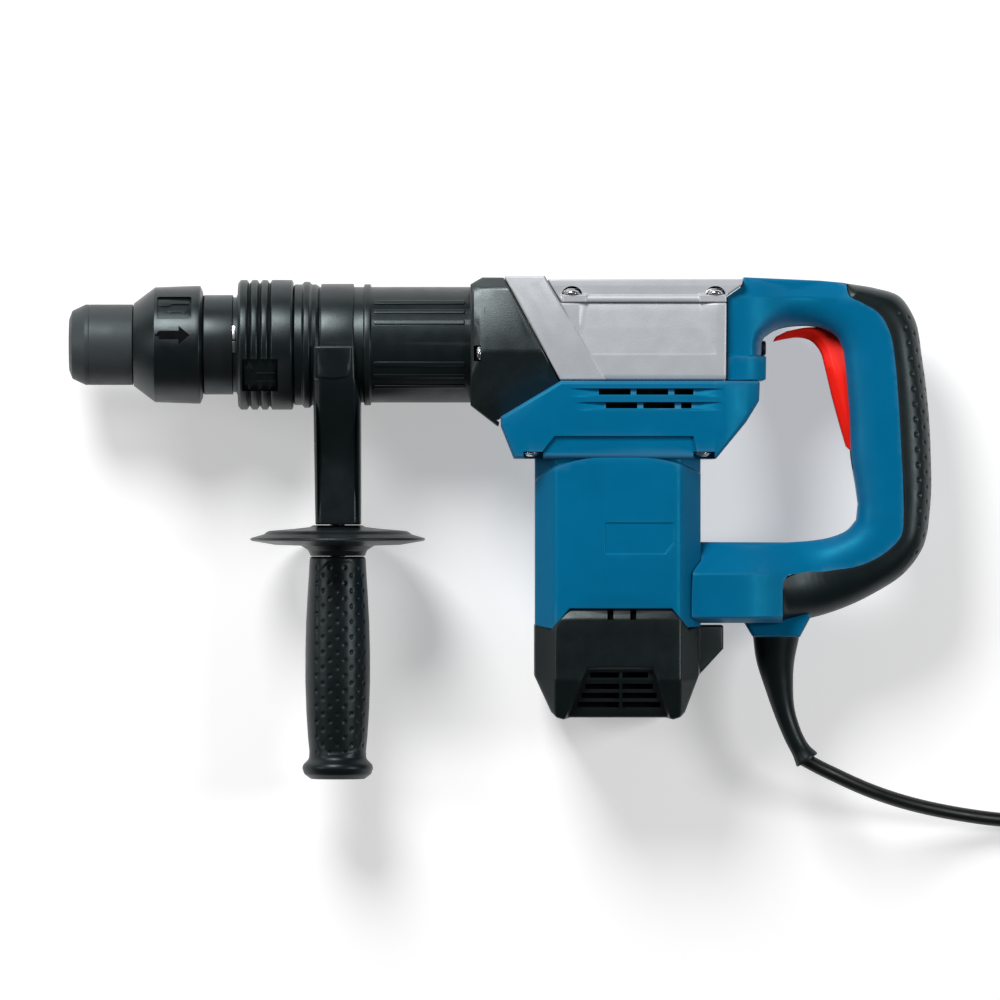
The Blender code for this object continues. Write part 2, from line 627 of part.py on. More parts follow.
def handle_outline():
    outer = [(367.9, 36.5), *smooth([(409.8, 34.9), (438.3, 31.6), (453.3, 26.6), (461.0, 18.0)])]
    outer += smooth([(464.6, 5.0), (468.6, -22.0), (470.8, -57.0), (470.6, -84.0), (468.6, -104.0)])
    outer += smooth([(465.6, -113.4), (457.4, -123.6), (439.7, -135.8), (420.7, -144.6)])
    outer += [(400.0, -150.2), (385.0, -151.8), (339.3, -151.8), (339.3, -139.3)]
    inner = [(377.5, 2.0), (385.3, 7.6), (397.6, 10.0), (412.9, 8.1), (422.4, -2.6), (424.1, -16.2)]
    inner += [(426.1, -40.6), (427.4, -64.0), (430.8, -84.0), (430.2, -95.7), (424.0, -102.0)]
    inner += [(412.0, -106.2), (392.1, -108.0)]
    front = [(344.3, -107.3), (340.1, -124.2)]
    block = [(377.5, -5.5), (380.2, -6.7), (379.9, -19.7), (358.6, -19.7), (359.1, 25.5)]
    block += [(367.5, 31.7)]
    return [*block, *outer, *front[::-1], *smooth(inner)[::-1]]


def rubber_outline():
    """The zone that the soft grip skin takes, with its outer side well outside the handle."""
    edge = smooth([(423.9, 60.0), (424.1, 33.4), (426.5, 26.4), (439.7, 19.2), (447.4, 8.0)])
    edge += smooth([(450.6, -9.4), (453.3, -50.1), (455.3, -88.0), (454.2, -104.5)])
    edge += smooth([(446.5, -112.7), (432.9, -120.1), (412.6, -123.8), (396.2, -125.2)])
    return [*edge, (389.8, -129.5), (389.2, -170.0), (490.0, -170.0), (490.0, 60.0)]


# Half the handle's width along a
HANDLE_PLAN = [(330.0, 38.0), (372.0, 37.0), (384.0, 33.0), (398.0, 23.0)]
HANDLE_PLAN += [(410.0, GRIP_HALF), (480.0, GRIP_HALF)]


def handle_body(name, outline, depth, plan_depth):
    """A tool object: the handle's outline inset by a depth, as wide as its plan allows."""
    item = hidden(name, prism(inset(outline, depth), -40.0, 40.0))
    plan = inset(mirrored(HANDLE_PLAN), plan_depth)
    keep(item, prism(plan, -200.0, 80.0, "as"))
    return item


def build_handle(looks):
    outline = handle_outline()
    rubber = rubber_outline()
    motor = octagon(MOTOR_HALF_A, MOTOR_HALF_S, MOTOR_FACET_A, MOTOR_FACET_S)
    clear_motor = inset(motor, -GAP)

    hollow = handle_body("hollow_blue", outline, HANDLE_WALL, HANDLE_WALL)
    cut(hollow, prism(inset(rubber, -HANDLE_WALL), -60.0, 60.0))
    cut(hollow, prism(inset(motor, -HANDLE_WALL), -160.0, -90.0, "as"))
    core_half = GRIP_HALF - SKIN - GAP
    channel = inset(outline, SKIN + HANDLE_WALL)
    slot = [(381.5, -3.0), (381.5, 15.0), (410.0, 16.0), (430.0, 12.0), (437.5, 2.0)]
    slot += [(438.0, -40.0), (437.5, -67.0), (426.0, -68.5), (418.0, -60.0), (405.0, -10.0)]
    socket = [(369.2, -147.0), (369.2, -151.8), (373.6, -159.6), (398.7, -159.7)]
    socket += [(403.8, -150.0), (403.2, -145.0)]

    for name, out in (("right", 1), ("left", -1)):
        item = node(f"handle_shell_{name}", prism(outline, *half(out, 38.5)), looks["blue"])
        keep(item, prism(mirrored(HANDLE_PLAN), -200.0, 80.0, "as"))
        cut(item, prism(rubber, -60.0, 60.0))
        join(item, prism(inset(outline, SKIN + GAP), *half(out, core_half)))
        cut(item, hollow)
        cut(item, prism(channel, HANDLE_WALL - core_half, core_half - HANDLE_WALL))
        join(item, prism(socket, *half(out, 14.0)))
        cut(item, prism(clear_motor, -170.0, -90.0, "as"))
        cut(item, prism(slot, -TRIGGER_HALF - 0.5, TRIGGER_HALF + 0.5))
        cut(item, rod("a", (-1.9, 0.0), 350.0, 384.0, 3.3))
        cut(item, rod("s", TRIGGER_PIVOT, -12.7, 12.7, PIVOT_PIN_R + GAP))
    skin = prism(outline, -GRIP_HALF, GRIP_HALF, "ah", 2.0)
    item = node("grip_overmould", skin, looks["rubber"])
    keep(item, prism(inset(rubber, GAP), -60.0, 60.0))
    cut(item, prism(inset(outline, SKIN), -core_half - GAP, core_half + GAP))
    cut(item, prism(inset(socket, -GAP), -14.0 - GAP, 14.0 + GAP))
    build_trigger(looks)
    build_strain_relief(looks)


def half(out, reach):
    """The levels of one half of a shell that is split along the middle of the tool."""
    return sorted((out * GAP / 2, out * reach))


def build_trigger(looks):
    a, h = TRIGGER_PIVOT
    face = smooth([(384.7, 1.5), (398.9, 3.9), (405.5, 2.0), (410.4, -3.6), (414.0, -18.0)])
    face += [(421.6, -46.0)]
    back = [(426.6, -58.0), (427.6, -64.0), (431.0, -65.6), (434.6, -63.6), (435.4, -58.0)]
    back += smooth([(432.4, -40.0), (430.0, -14.0), (426.0, 1.0), (418.0, 7.4), (405.0, 9.6)])
    back += [(388.0, 6.0)]
    lever = prism([*face, *back], -TRIGGER_HALF, TRIGGER_HALF, "ah", 1.0)
    item = node("trigger", lever, looks["red"], (a, h, 0.0))
    cut(item, rod("s", TRIGGER_PIVOT, -20.0, 20.0, PIVOT_PIN_R + GAP))
    pin = rod("s", TRIGGER_PIVOT, -12.3, 12.3, PIVOT_PIN_R)
    node("trigger_pin", pin, looks["steel"])
    case = [(438.6, -46.0), (456.5, -46.0), (456.5, -8.0), (438.6, -8.0)]
    body = prism(case, -9.0, 9.0, "ah", 1.0)
    node("switch_body", body, looks["black"])
    bolt = [(361.0, 0), (361.0, 2.9), (377.8, 2.9), (377.8, 3.8), (380.3, 3.8), (381.0, 3.0)]
    bolt += [(381.0, 0)]
    node("handle_bolt", turned(bolt, "a", (-1.9, 0.0), ROUND_SMALL), looks["dark_steel"])


# Strain relief, cord and plug

BOOT_ROUTE = [(386.1, -160.0), (385.8, -170.1), (387.6, -185.4), (390.8, -200.7)]
BOOT_ROUTE += [(396.4, -216.0), (403.3, -227.1)]
BOOT_RADII = (12.7, 10.9, 8.0, 5.8, 5.1, 7.0)
BOOT_SIDES = 16

# Route of the free cord, from the strain relief to the coil: (x, y, z) in the scene, in millimetres
CORD_ROUTE = (
    (169.8, -128.4, 48.0),
    (174.6, -131.0, 47.5),
    (181.5, -134.3, 45.8),
    (190.5, -138.6, 42.3),
    (201.5, -143.4, 37.2),
    (213.5, -147.8, 30.6),
    (226.5, -151.7, 24.2),
    (240.5, -155.0, 18.4),
    (255.5, -157.8, 13.4),
    (271.0, -160.0, 9.4),
    (288.0, -161.4, 6.2),
    (304.0, -161.8, 4.4),
    (321.3, -161.8, 3.95),
)
CORD_STEP = 18.0


def build_strain_relief(looks):
    route = smooth(BOOT_ROUTE, 2)
    mesh = bmesh.new()
    rings = []
    for i, (a, h) in enumerate(route):
        before, after = Vector(route[max(i - 1, 0)]), Vector(route[min(i + 1, len(route) - 1)])
        along = (after - before).normalized()
        if i == 0:
            along = Vector((0.0, -1.0))
        place = i / (len(route) - 1) * (len(BOOT_RADII) - 1)
        k = min(int(place), len(BOOT_RADII) - 2)
        radius = BOOT_RADII[k] + (BOOT_RADII[k + 1] - BOOT_RADII[k]) * (place - k)
        ring = []
        for k in range(BOOT_SIDES):
            turn = 2 * math.pi * k / BOOT_SIDES
            out = radius * math.cos(turn)
            spot = (a - along.y * out, h + along.x * out, radius * math.sin(turn))
            ring.append(mesh.verts.new(spot))
        rings.append(ring)
    for first, second in zip(rings, rings[1:]):
        for k in range(BOOT_SIDES):
            j = (k + 1) % BOOT_SIDES
            mesh.faces.new((first[k], first[j], second[j], second[k]))
    mesh.faces.new(rings[0][::-1])
    mesh.faces.new(rings[-1])
    node("strain_relief", mesh, looks["rubber"], (386.1, -160.0, 0.0))


def smooth_route(points, step):
    """Points about a step apart on a smooth curve through a route."""
    spots = [Vector(p) for p in points]
    fine = smooth(spots, 24)
    travelled = [0.0]
    for a, b in zip(fine, fine[1:]):
        travelled.append(travelled[-1] + (Vector(b) - Vector(a)).length)
    count = round(travelled[-1] / step)
    picked = []
    for k in range(count + 1):
        aim = travelled[-1] * k / count
        nearest = min(range(len(fine)), key=lambda i: abs(travelled[i] - aim))
        picked.append(fine[nearest])
    return picked


def build_cord(looks):
    data = bpy.data.curves.new("cord", "CURVE")
    data.dimensions = "3D"
    data.bevel_depth = CORD_D / 2 * MM
    data.bevel_resolution = CORD_BEVEL_STEPS
    data.use_fill_caps = True
    route = smooth_route(CORD_ROUTE, CORD_STEP)
    spline = data.splines.new("POLY")
    spline.points.add(len(route) - 1)
    for point, spot in zip(spline.points, route):
        point.co = (*(Vector(spot) * MM), 1.0)
    item = bpy.data.objects.new("cord", data)
    bpy.context.scene.collection.objects.link(item)
    data.materials.append(looks["rubber"])

    coil_a, coil_h = COIL_CENTRE[0] + MID_A, COIL_CENTRE[1] + MID_H
    wide, high = COIL_TURNS_WIDE * CORD_D, COIL_LAYERS * CORD_D
    radii = (COIL_MEAN_R - wide / 2, COIL_MEAN_R + wide / 2)
    ring = tube("s", (coil_a, coil_h), -HALF_WIDTH, high - HALF_WIDTH, *radii)
    node("cord_coil", ring, looks["rubber"], (coil_a, coil_h, 0.0))
    build_plug(looks, coil_a, coil_h, high - HALF_WIDTH + GAP)


def build_plug(looks, coil_a, coil_h, low):
    """A round two-pin plug lying on the coil, its pins towards the tool, moulded onto its pins."""
    centre = (coil_h + COIL_MEAN_R - 2.0, low + 13.0)
    shape = [(0.0, 0), (0.0, 17.5), (12.0, 17.5), (20.0, 15.0), (32.0, 11.0), (40.0, 6.5)]
    shape += [(46.0, 5.5), (46.0, 0)]
    start = coil_a - 26.0
    profile = [(start + along, radius) for along, radius in shape]
    item = node("plug", turned(profile, "a", centre, ROUND), looks["rubber"])
    slab = [(centre[0] - 30.0, low), (centre[0] + 30.0, low), (centre[0] + 30.0, low + 26.0)]
    keep(item, prism([*slab, (centre[0] - 30.0, low + 26.0)], start - 10.0, start + 80.0, "hs"))
    for out in (1, -1):
        where = (centre[0] + out * 9.5, centre[1])
        pin = [(-19.0, 0), (-19.0, 1.6), (-18.2, 2.4), (1.0, 2.4), (1.0, 0)]
        profile = [(start + along, radius) for along, radius in pin]
        join(item, turned(profile, "a", where, ROUND_SMALL))


# Side handle


def build_side_handle(looks):
    axis = (0.0, 0.0)
    barrel_origin = (STEM_A, 0.0, 0.0)
    band = tube("a", axis, STEM_A - 8.7, STEM_A + 8.7, *BAND_R)
    item = node("side_handle_band", band, looks["steel"], barrel_origin)
    join(item, box((STEM_A - 7.5, STEM_A + 7.5), (-46.0, -32.3), (-7.5, 7.5)))

    outline = [(-0.7, 37.0), (-12.0, 37.0), (-44.0, 22.0), (-62.0, 17.0), (-98.5, 17.0)]
    stem = prism(mirrored(outline), STEM_A - STEM_HALF_A, STEM_A + STEM_HALF_A, "hs", 1.5)
    item = node("side_handle_bracket", stem, looks["black"], barrel_origin)
    cut(item, rod("a", axis, 120.0, 170.0, BAND_R[1] + GAP, ROUND))
    cut(item, box((STEM_A - 8.2, STEM_A + 8.2), (-110.0, -20.0), (-8.2, 8.2)))

    centre = (STEM_A, 0.0)
    bolt = [(-46.4, 0), (-46.4, 6.5), (-52.0, 6.5), (-52.0, 4.0), (-186.0, 4.0), (-186.0, 0)]
    node("side_handle_bolt", turned(bolt, "h", centre, ROUND_SMALL), looks["steel"], barrel_origin)
    disc = [(-98.9, 4.4), (-98.9, 13.6), (-100.4, 14.6), (-102.1, 38.5), (-105.8, DISC_R)]
    disc += [(-107.0, DISC_R), (-109.1, 34.0), (-110.5, 19.0), (-115.2, 15.5), (-115.2, 4.4)]
    node("guard_disc", turned(disc, "h", centre), looks["black"], barrel_origin)
    grip = [(-190.0, 0), (-190.0, 4.4), (-115.6, 4.4), (-115.6, 15.2), (-137.0, 16.5)]
    grip += [(-168.5, 17.7), (-199.8, 17.3), (-219.7, 16.0)]
    grip += [(-226.0, 15.4), (-229.7, 19.4), (-232.3, 19.4), (-235.4, 17.8), (BOTTOM_H, 14.9)]
    grip += [(BOTTOM_H, 0)]
    node("side_grip", turned(grip, "h", centre), looks["rubber"], (STEM_A, -170.0, 0.0))


def build(looks):
    build_front(looks)
    build_striker(looks)
    build_housings(looks)
    build_motor(looks)
    build_handle(looks)
    build_side_handle(looks)
    build_cord(looks)


def main():
    for item in list(bpy.data.objects):
        bpy.data.objects.remove(item)
    build(make_materials())


main()
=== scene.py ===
"""Electric demolition hammer lying on its left side: the looks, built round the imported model.

Tool coordinates are in millimetres: a runs back from the nose along the barrel axis, h runs up from
that axis and s runs out to the tool's right-hand side, which faces the camera.
"""

import math

import bmesh
import bpy
import numpy as np
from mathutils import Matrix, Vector
from mathutils.geometry import delaunay_2d_cdt


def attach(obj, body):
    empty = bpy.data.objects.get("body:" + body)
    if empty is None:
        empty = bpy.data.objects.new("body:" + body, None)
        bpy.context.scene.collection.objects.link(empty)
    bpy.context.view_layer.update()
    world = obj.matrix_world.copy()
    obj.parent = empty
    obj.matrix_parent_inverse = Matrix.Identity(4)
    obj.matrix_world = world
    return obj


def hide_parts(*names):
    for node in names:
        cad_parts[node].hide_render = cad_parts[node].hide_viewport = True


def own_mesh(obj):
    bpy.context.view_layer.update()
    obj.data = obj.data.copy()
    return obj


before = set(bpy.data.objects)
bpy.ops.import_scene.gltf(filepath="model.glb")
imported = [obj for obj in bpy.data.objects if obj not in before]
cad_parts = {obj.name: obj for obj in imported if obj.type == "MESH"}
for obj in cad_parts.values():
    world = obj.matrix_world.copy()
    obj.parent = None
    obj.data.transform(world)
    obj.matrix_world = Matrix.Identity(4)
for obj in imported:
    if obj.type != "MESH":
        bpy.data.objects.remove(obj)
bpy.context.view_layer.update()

MM = 0.001
MID_A, BASE_H, HALF_WIDTH = 235.5, 100.15, 48.0
BARREL_R = 31.6
MOTOR_A = 299.4
FACET_A = 34.0  # where the motor's flat side turns into its corner facets, from the motor's axis
STEM_A = 146.6
MATERIALS = {}


def spot(a, h, s=0.0):
    """A point of the tool in the scene, in metres."""
    return Vector((a - MID_A, h + BASE_H, HALF_WIDTH + s)) * MM


# Camera


def make_camera():
    """Straight above the tool, with a long lens that sees 546.5 mm across at the barrel axis."""
    lens, sensor, width = 450.0, 36.0, 0.5465
    data = bpy.data.cameras.new("camera")
    data.lens, data.sensor_width = lens, sensor
    camera = bpy.data.objects.new("camera", data)
    camera.location = (-0.0002, 0.0153, HALF_WIDTH * MM + width * lens / sensor)
    bpy.context.scene.collection.objects.link(camera)
    bpy.context.scene.camera = camera


# Curves and outlines


def smooth(points, steps=4):
    """Points on a smooth open curve through the given ones."""
    spots = [Vector(p) for p in points]
    chords = [(b - a).length for a, b in zip(spots, spots[1:])]
    slopes = [(b - a) / d for a, b, d in zip(spots, spots[1:], chords)]
    tangents = [slopes[0]]
    for i in range(1, len(spots) - 1):
        share = chords[i] / (chords[i - 1] + chords[i])
        tangents.append(slopes[i - 1] * share + slopes[i] * (1 - share))
    tangents.append(slopes[-1])
    curve = []
    for i, chord in enumerate(chords):
        for k in range(steps):
            t = k / steps
            rise, fall = t * (1 - t) ** 2, t * t * (1 - t)
            ease = t * t * (3 - 2 * t)
            middle = spots[i].lerp(spots[i + 1], ease)
            curve.append(tuple(middle + (tangents[i] * rise - tangents[i + 1] * fall) * chord))
    return [*curve, tuple(spots[-1])]


def resample(points, step):
    """Points an equal distance apart along a polyline, about a step each."""
    line = np.array(points, float)
    travelled = np.r_[0.0, np.cumsum(np.linalg.norm(np.diff(line, axis=0), axis=1))]
    at = np.linspace(0.0, travelled[-1], max(int(round(travelled[-1] / step)), 1) + 1)
    return [tuple(p) for p in np.stack([np.interp(at, travelled, c) for c in line.T], axis=1)]


def rounded(points, radius, steps=4, closed=False):
    """A polyline with its corners rounded; a point may carry its own radius as a third number."""
    count = len(points)
    result = []
    for i, point in enumerate(points):
        here = Vector(point[:2])
        if not closed and i in (0, count - 1):
            result.append(tuple(here))
            continue
        before, after = Vector(points[i - 1][:2]), Vector(points[(i + 1) % count][:2])
        wanted = point[2] if len(point) > 2 else radius
        first, second = (before - here).normalized(), (after - here).normalized()
        turn = math.acos(max(-1.0, min(1.0, first.dot(second))))
        if wanted <= 0 or turn > math.pi - 0.02 or turn < 0.02:
            result.append(tuple(here))
            continue
        room = 0.48 * min((before - here).length, (after - here).length)
        reach = min(wanted / math.tan(turn / 2), room)
        start, end = here + first * reach, here + second * reach
        for k in range(steps + 1):
            t = k / steps
            p = start * (1 - t) ** 2 + here * 2 * t * (1 - t) + end * t * t
            result.append(tuple(p))
    return result


def inset(outline, depth):
    """A closed outline moved inwards by a depth, or outwards if that is negative."""
    points = np.array(outline, float)
    before, after = np.roll(points, 1, 0), np.roll(points, -1, 0)
    side = np.sign(np.sum(before[:, 0] * points[:, 1] - before[:, 1] * points[:, 0]))
    into = points - before
    out = after - points
    into /= np.maximum(np.linalg.norm(into, axis=1, keepdims=True), 1e-9)
    out /= np.maximum(np.linalg.norm(out, axis=1, keepdims=True), 1e-9)
    normal = np.stack([-into[:, 1] - out[:, 1], into[:, 0] + out[:, 0]], axis=1) * side
    normal /= np.maximum(np.linalg.norm(normal, axis=1, keepdims=True), 1e-9)
    across = np.stack([-into[:, 1], into[:, 0]], axis=1) * side
    spread = np.maximum(np.sum(normal * across, axis=1), 0.4)
    return [tuple(p) for p in points + normal * depth / spread[:, None]]


def ellipse(centre, half, steps=32):
    """An ellipse's outline, with half its size each way."""
    turns = [2 * math.pi * k / steps for k in range(steps)]
    return [(centre[0] + half[0] * math.cos(t), centre[1] + half[1] * math.sin(t)) for t in turns]


def box_outline(a, h):
    """A rectangle's outline between two ends each way."""
    return [(a[0], h[0]), (a[1], h[0]), (a[1], h[1]), (a[0], h[1])]


def ease(value, low, high):
    """0 below low, 1 above high, and smooth between; works on arrays."""
    t = np.clip((value - low) / (high - low), 0.0, 1.0)
    return t * t * (3 - 2 * t)


def distance(points, line, closed=True):
    """How far each point is from a polyline."""
    line = np.array(line, float)
    ends = np.roll(line, -1, 0) if closed else line[1:]
    starts = line if closed else line[:-1]
    nearest = np.full(len(points), 1e9)
    for start, end in zip(starts, ends):
        along = end - start
        t = np.clip((points - start) @ along / max(along @ along, 1e-9), 0.0, 1.0)
        nearest = np.minimum(nearest, np.linalg.norm(points - start - t[:, None] * along, axis=1))
    return nearest


def inside(points, outline):
    """Which points are inside a closed outline."""
    outline = np.array(outline, float)
    found = np.zeros(len(points), bool)
    for (u0, v0), (u1, v1) in zip(outline, np.roll(outline, -1, 0)):
        crosses = (v0 > points[:, 1]) != (v1 > points[:, 1])
        at = u0 + (points[:, 1] - v0) * (u1 - u0) / ((v1 - v0) or 1e-12)
        found ^= crosses & (points[:, 0] < at)
    return found


# Meshes


def finish_mesh(name, mesh, look, sharp=38.0):
    """Links a bmesh in tool coordinates as a piece."""
    for vertex in mesh.verts:
        vertex.co = spot(*vertex.co)
    bmesh.ops.remove_doubles(mesh, verts=mesh.verts, dist=2e-6)
    bmesh.ops.recalc_face_normals(mesh, faces=mesh.faces)
    data = bpy.data.meshes.new(name)
    mesh.to_mesh(data)
    mesh.free()
    data.shade_smooth()
    data.set_sharp_from_angle(angle=math.radians(sharp))
    item = bpy.data.objects.new(name, data)
    bpy.context.scene.collection.objects.link(item)
    if look:
        data.materials.append(MATERIALS[look])
    return item


def loops(rings, join_ends=False):
    """A closed surface through rings with equal counts, its ends capped or joined to each other."""
    mesh = bmesh.new()
    made = [[mesh.verts.new(p) for p in ring] for ring in rings]
    if join_ends:
        made.append(made[0])
    count = len(made[0])
    for first, second in zip(made, made[1:]):
        for i in range(count):
            j = (i + 1) % count
            mesh.faces.new((first[i], first[j], second[j], second[i]))
    if not join_ends:
        mesh.faces.new(made[0][::-1])
        mesh.faces.new(made[-1])
    return mesh


def on_axis(axis, centre, along, u, v):
    """A point along and beside an axis, in tool coordinates."""
    if axis == "a":
        return along, centre[0] + u, centre[1] + v
    if axis == "h":
        return centre[0] + u, along, centre[1] + v
    return centre[0] + u, centre[1] + v, along


def lathe(profile, axis="a", centre=(0.0, 0.0), sides=96, closed=True):
    """A turned solid from a closed profile of (along the axis, radius)."""
    mesh = bmesh.new()
    rings = []
    for along, radius in profile:
        turns = [2 * math.pi * i / sides for i in range(sides if radius > 1e-6 else 1)]
        rings.append([
            mesh.verts.new(on_axis(axis, centre, along, radius * math.cos(t), radius * math.sin(t)))
            for t in turns
        ])
    if closed:
        rings.append(rings[0])
    for first, second in zip(rings, rings[1:]):
        if len(first) == len(second) == 1:
            continue
        for i in range(sides):
            j = (i + 1) % sides
            corners = [
                first[i % len(first)], first[j % len(first)], second[j % len(second)],
                second[i % len(second)],
            ]
            mesh.faces.new(list(dict.fromkeys(corners)))
    return mesh


def rod(low, high, radius, axis="a", centre=(0.0, 0.0), sides=96):
    """A plain round bar, for boring holes."""
    ends = [(low, 0.0), (low, radius), (high, radius), (high, 0.0)]
    return lathe(ends, axis, centre, sides, False)


def prism(outline, low, high, plane="ah"):
    """A straight solid over an outline in a plane."""
    order = {"ah": (0, 1, 2), "as": (0, 2, 1), "hs": (2, 0, 1)}[plane]
    ends = [[tuple((u, v, level)[i] for i in order) for u, v in outline] for level in (low, high)]
    return loops(ends)


def relief(outline, top, low=None, lines=(), edge=1.0, grid=0.0, soft=0.3):
    """A solid under a height map: top(a, h, d) is its level, with d the distance from its outline.

    The bottom mirrors the top unless low gives it. Creases follow the lines, softened over a
    distance, with two more lines on each side that keep the shading flat up to them. The outer edge
    is rounded.
    """
    outline = [tuple(p) for p in outline]
    chains = [(outline, True)]
    if edge:
        for t in (22.5, 45.0, 67.5, 90.0):
            chains.append((inset(outline, edge * (1 - math.cos(math.radians(t)))), True))
    for line in lines:
        closed = line[0] == line[-1]
        path = list(line[:-1] if closed else line)
        path = split(path, closed, 1.4 * grid) if grid else path
        chains.append((path, closed))
        if soft and len(path) > 1:
            chains.extend(beside(path, closed, 1.15 * soft))
            chains.extend(beside(path, closed, 1.15 * soft + 0.5))
    points, edges = [], []
    for path, closed in chains:
        start = len(points)
        points += [Vector(p) for p in path]
        last = len(path) if closed else len(path) - 1
        edges += [(start + i, start + (i + 1) % len(path)) for i in range(last)]
    if grid:
        low_corner, high_corner = np.min(outline, axis=0), np.max(outline, axis=0)
        rows = np.arange(low_corner[1], high_corner[1], grid * 0.87)
        for k, h in enumerate(rows):
            across = np.arange(low_corner[0] + (k % 2) * grid / 2, high_corner[0], grid)
            spots = np.stack([across, np.full(len(across), h)], axis=1)
            keep = inside(spots, outline) & (distance(spots, outline) > max(edge, 0.4 * grid))
            for line in lines:
                keep &= distance(spots, line, closed=False) > 0.22 * grid
            points += [Vector(p) for p in spots[keep]]
    flat, _, faces, *_ = delaunay_2d_cdt(points, edges, [], 0, 1e-4)
    flat = np.array([tuple(p) for p in flat])
    faces = np.array(faces)
    centres = flat[faces].mean(axis=1)
    first, second, third = (flat[faces[:, k]] for k in range(3))
    area = np.abs(np.cross(second - first, third - first))
    faces = faces[inside(centres, outline) & (area > 1e-7)]
    away = distance(flat, outline)
    drop = np.zeros(len(flat))
    if edge:
        lean = np.clip(edge - away, 0.0, edge)
        drop = edge - np.sqrt(np.maximum(edge**2 - lean**2, 0.0))

    def level(height):
        total = height(flat[:, 0], flat[:, 1], away) * 1.0
        if not soft:
            return total
        for k in range(8):
            t = math.pi * k / 4
            total = total + height(
                flat[:, 0] + soft * math.cos(t), flat[:, 1] + soft * math.sin(t), away
            )
        return total / 9

    upper = level(top) - drop
    lower = -upper if low is None else level(low) + drop
    mesh = bmesh.new()
    used = np.unique(faces)
    tops = {i: mesh.verts.new((*flat[i], upper[i])) for i in used}
    bottoms = {i: mesh.verts.new((*flat[i], lower[i])) for i in used}
    borders = {}
    for a, b, c in faces:
        mesh.faces.new((tops[a], tops[b], tops[c]))
        mesh.faces.new((bottoms[c], bottoms[b], bottoms[a]))
        for pair in ((a, b), (b, c), (c, a)):
            if pair[::-1] in borders:
                del borders[pair[::-1]]
            else:
                borders[pair] = True
    for a, b in borders:
        mesh.faces.new((tops[b], tops[a], bottoms[a], bottoms[b]))
    return mesh


def split(path, closed, step):
    """The same line with points no more than a step apart."""
    ends = [*path[1:], path[0]] if closed else path[1:]
    points = []
    for start, end in zip(path, ends):
        count = max(1, math.ceil(math.dist(start, end) / step))
        for k in range(count):
            points.append(tuple(start[i] + (end[i] - start[i]) * k / count for i in (0, 1)))
    return points if closed else [*points, path[-1]]


def beside(path, closed, gap):
    """The lines a gap away on both sides of a path."""
    if closed:
        return [(inset(path, gap), True), (inset(path, -gap), True)]
    line = np.array(path, float)
    along = np.gradient(line, axis=0)
    along /= np.linalg.norm(along, axis=1, keepdims=True)
    across = np.stack([-along[:, 1], along[:, 0]], axis=1) * gap
    return [([tuple(p) for p in line + side * across], False) for side in (1, -1)]


def both_sides(outline, near, far, plane="ah"):
    """The same prism on the tool's right and left."""
    return [prism(outline, *sorted((out * near, out * far)), plane) for out in (1, -1)]


def boolean(item, operation, cutters, look=None):
    """Cuts or joins meshes and keeps the result; cut faces may take a look of their own."""
    for mesh in cutters if isinstance(cutters, list) else [cutters]:
        tool = finish_mesh("tool", mesh, look)
        modifier = item.modifiers.new("boolean", "BOOLEAN")
        modifier.operation, modifier.solver, modifier.object = operation, "EXACT", tool
        if look:
            modifier.material_mode = "TRANSFER"
        graph = bpy.context.evaluated_depsgraph_get()
        made = bpy.data.meshes.new_from_object(item.evaluated_get(graph))
        item.modifiers.clear()
        old, item.data = item.data, made
        bpy.data.meshes.remove(old)
        bpy.data.objects.remove(tool)
    item.data.set_sharp_from_angle(angle=math.radians(38))


def cut(item, cutters, look=None):
    """Takes meshes away from a piece."""
    boolean(item, "DIFFERENCE", cutters, look)


def add(item, body, slot, *nodes):
    """Places a piece on its body, in place of its CAD nodes."""
    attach(item, body)
    if nodes:
        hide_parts(*nodes)
    return item


# Materials


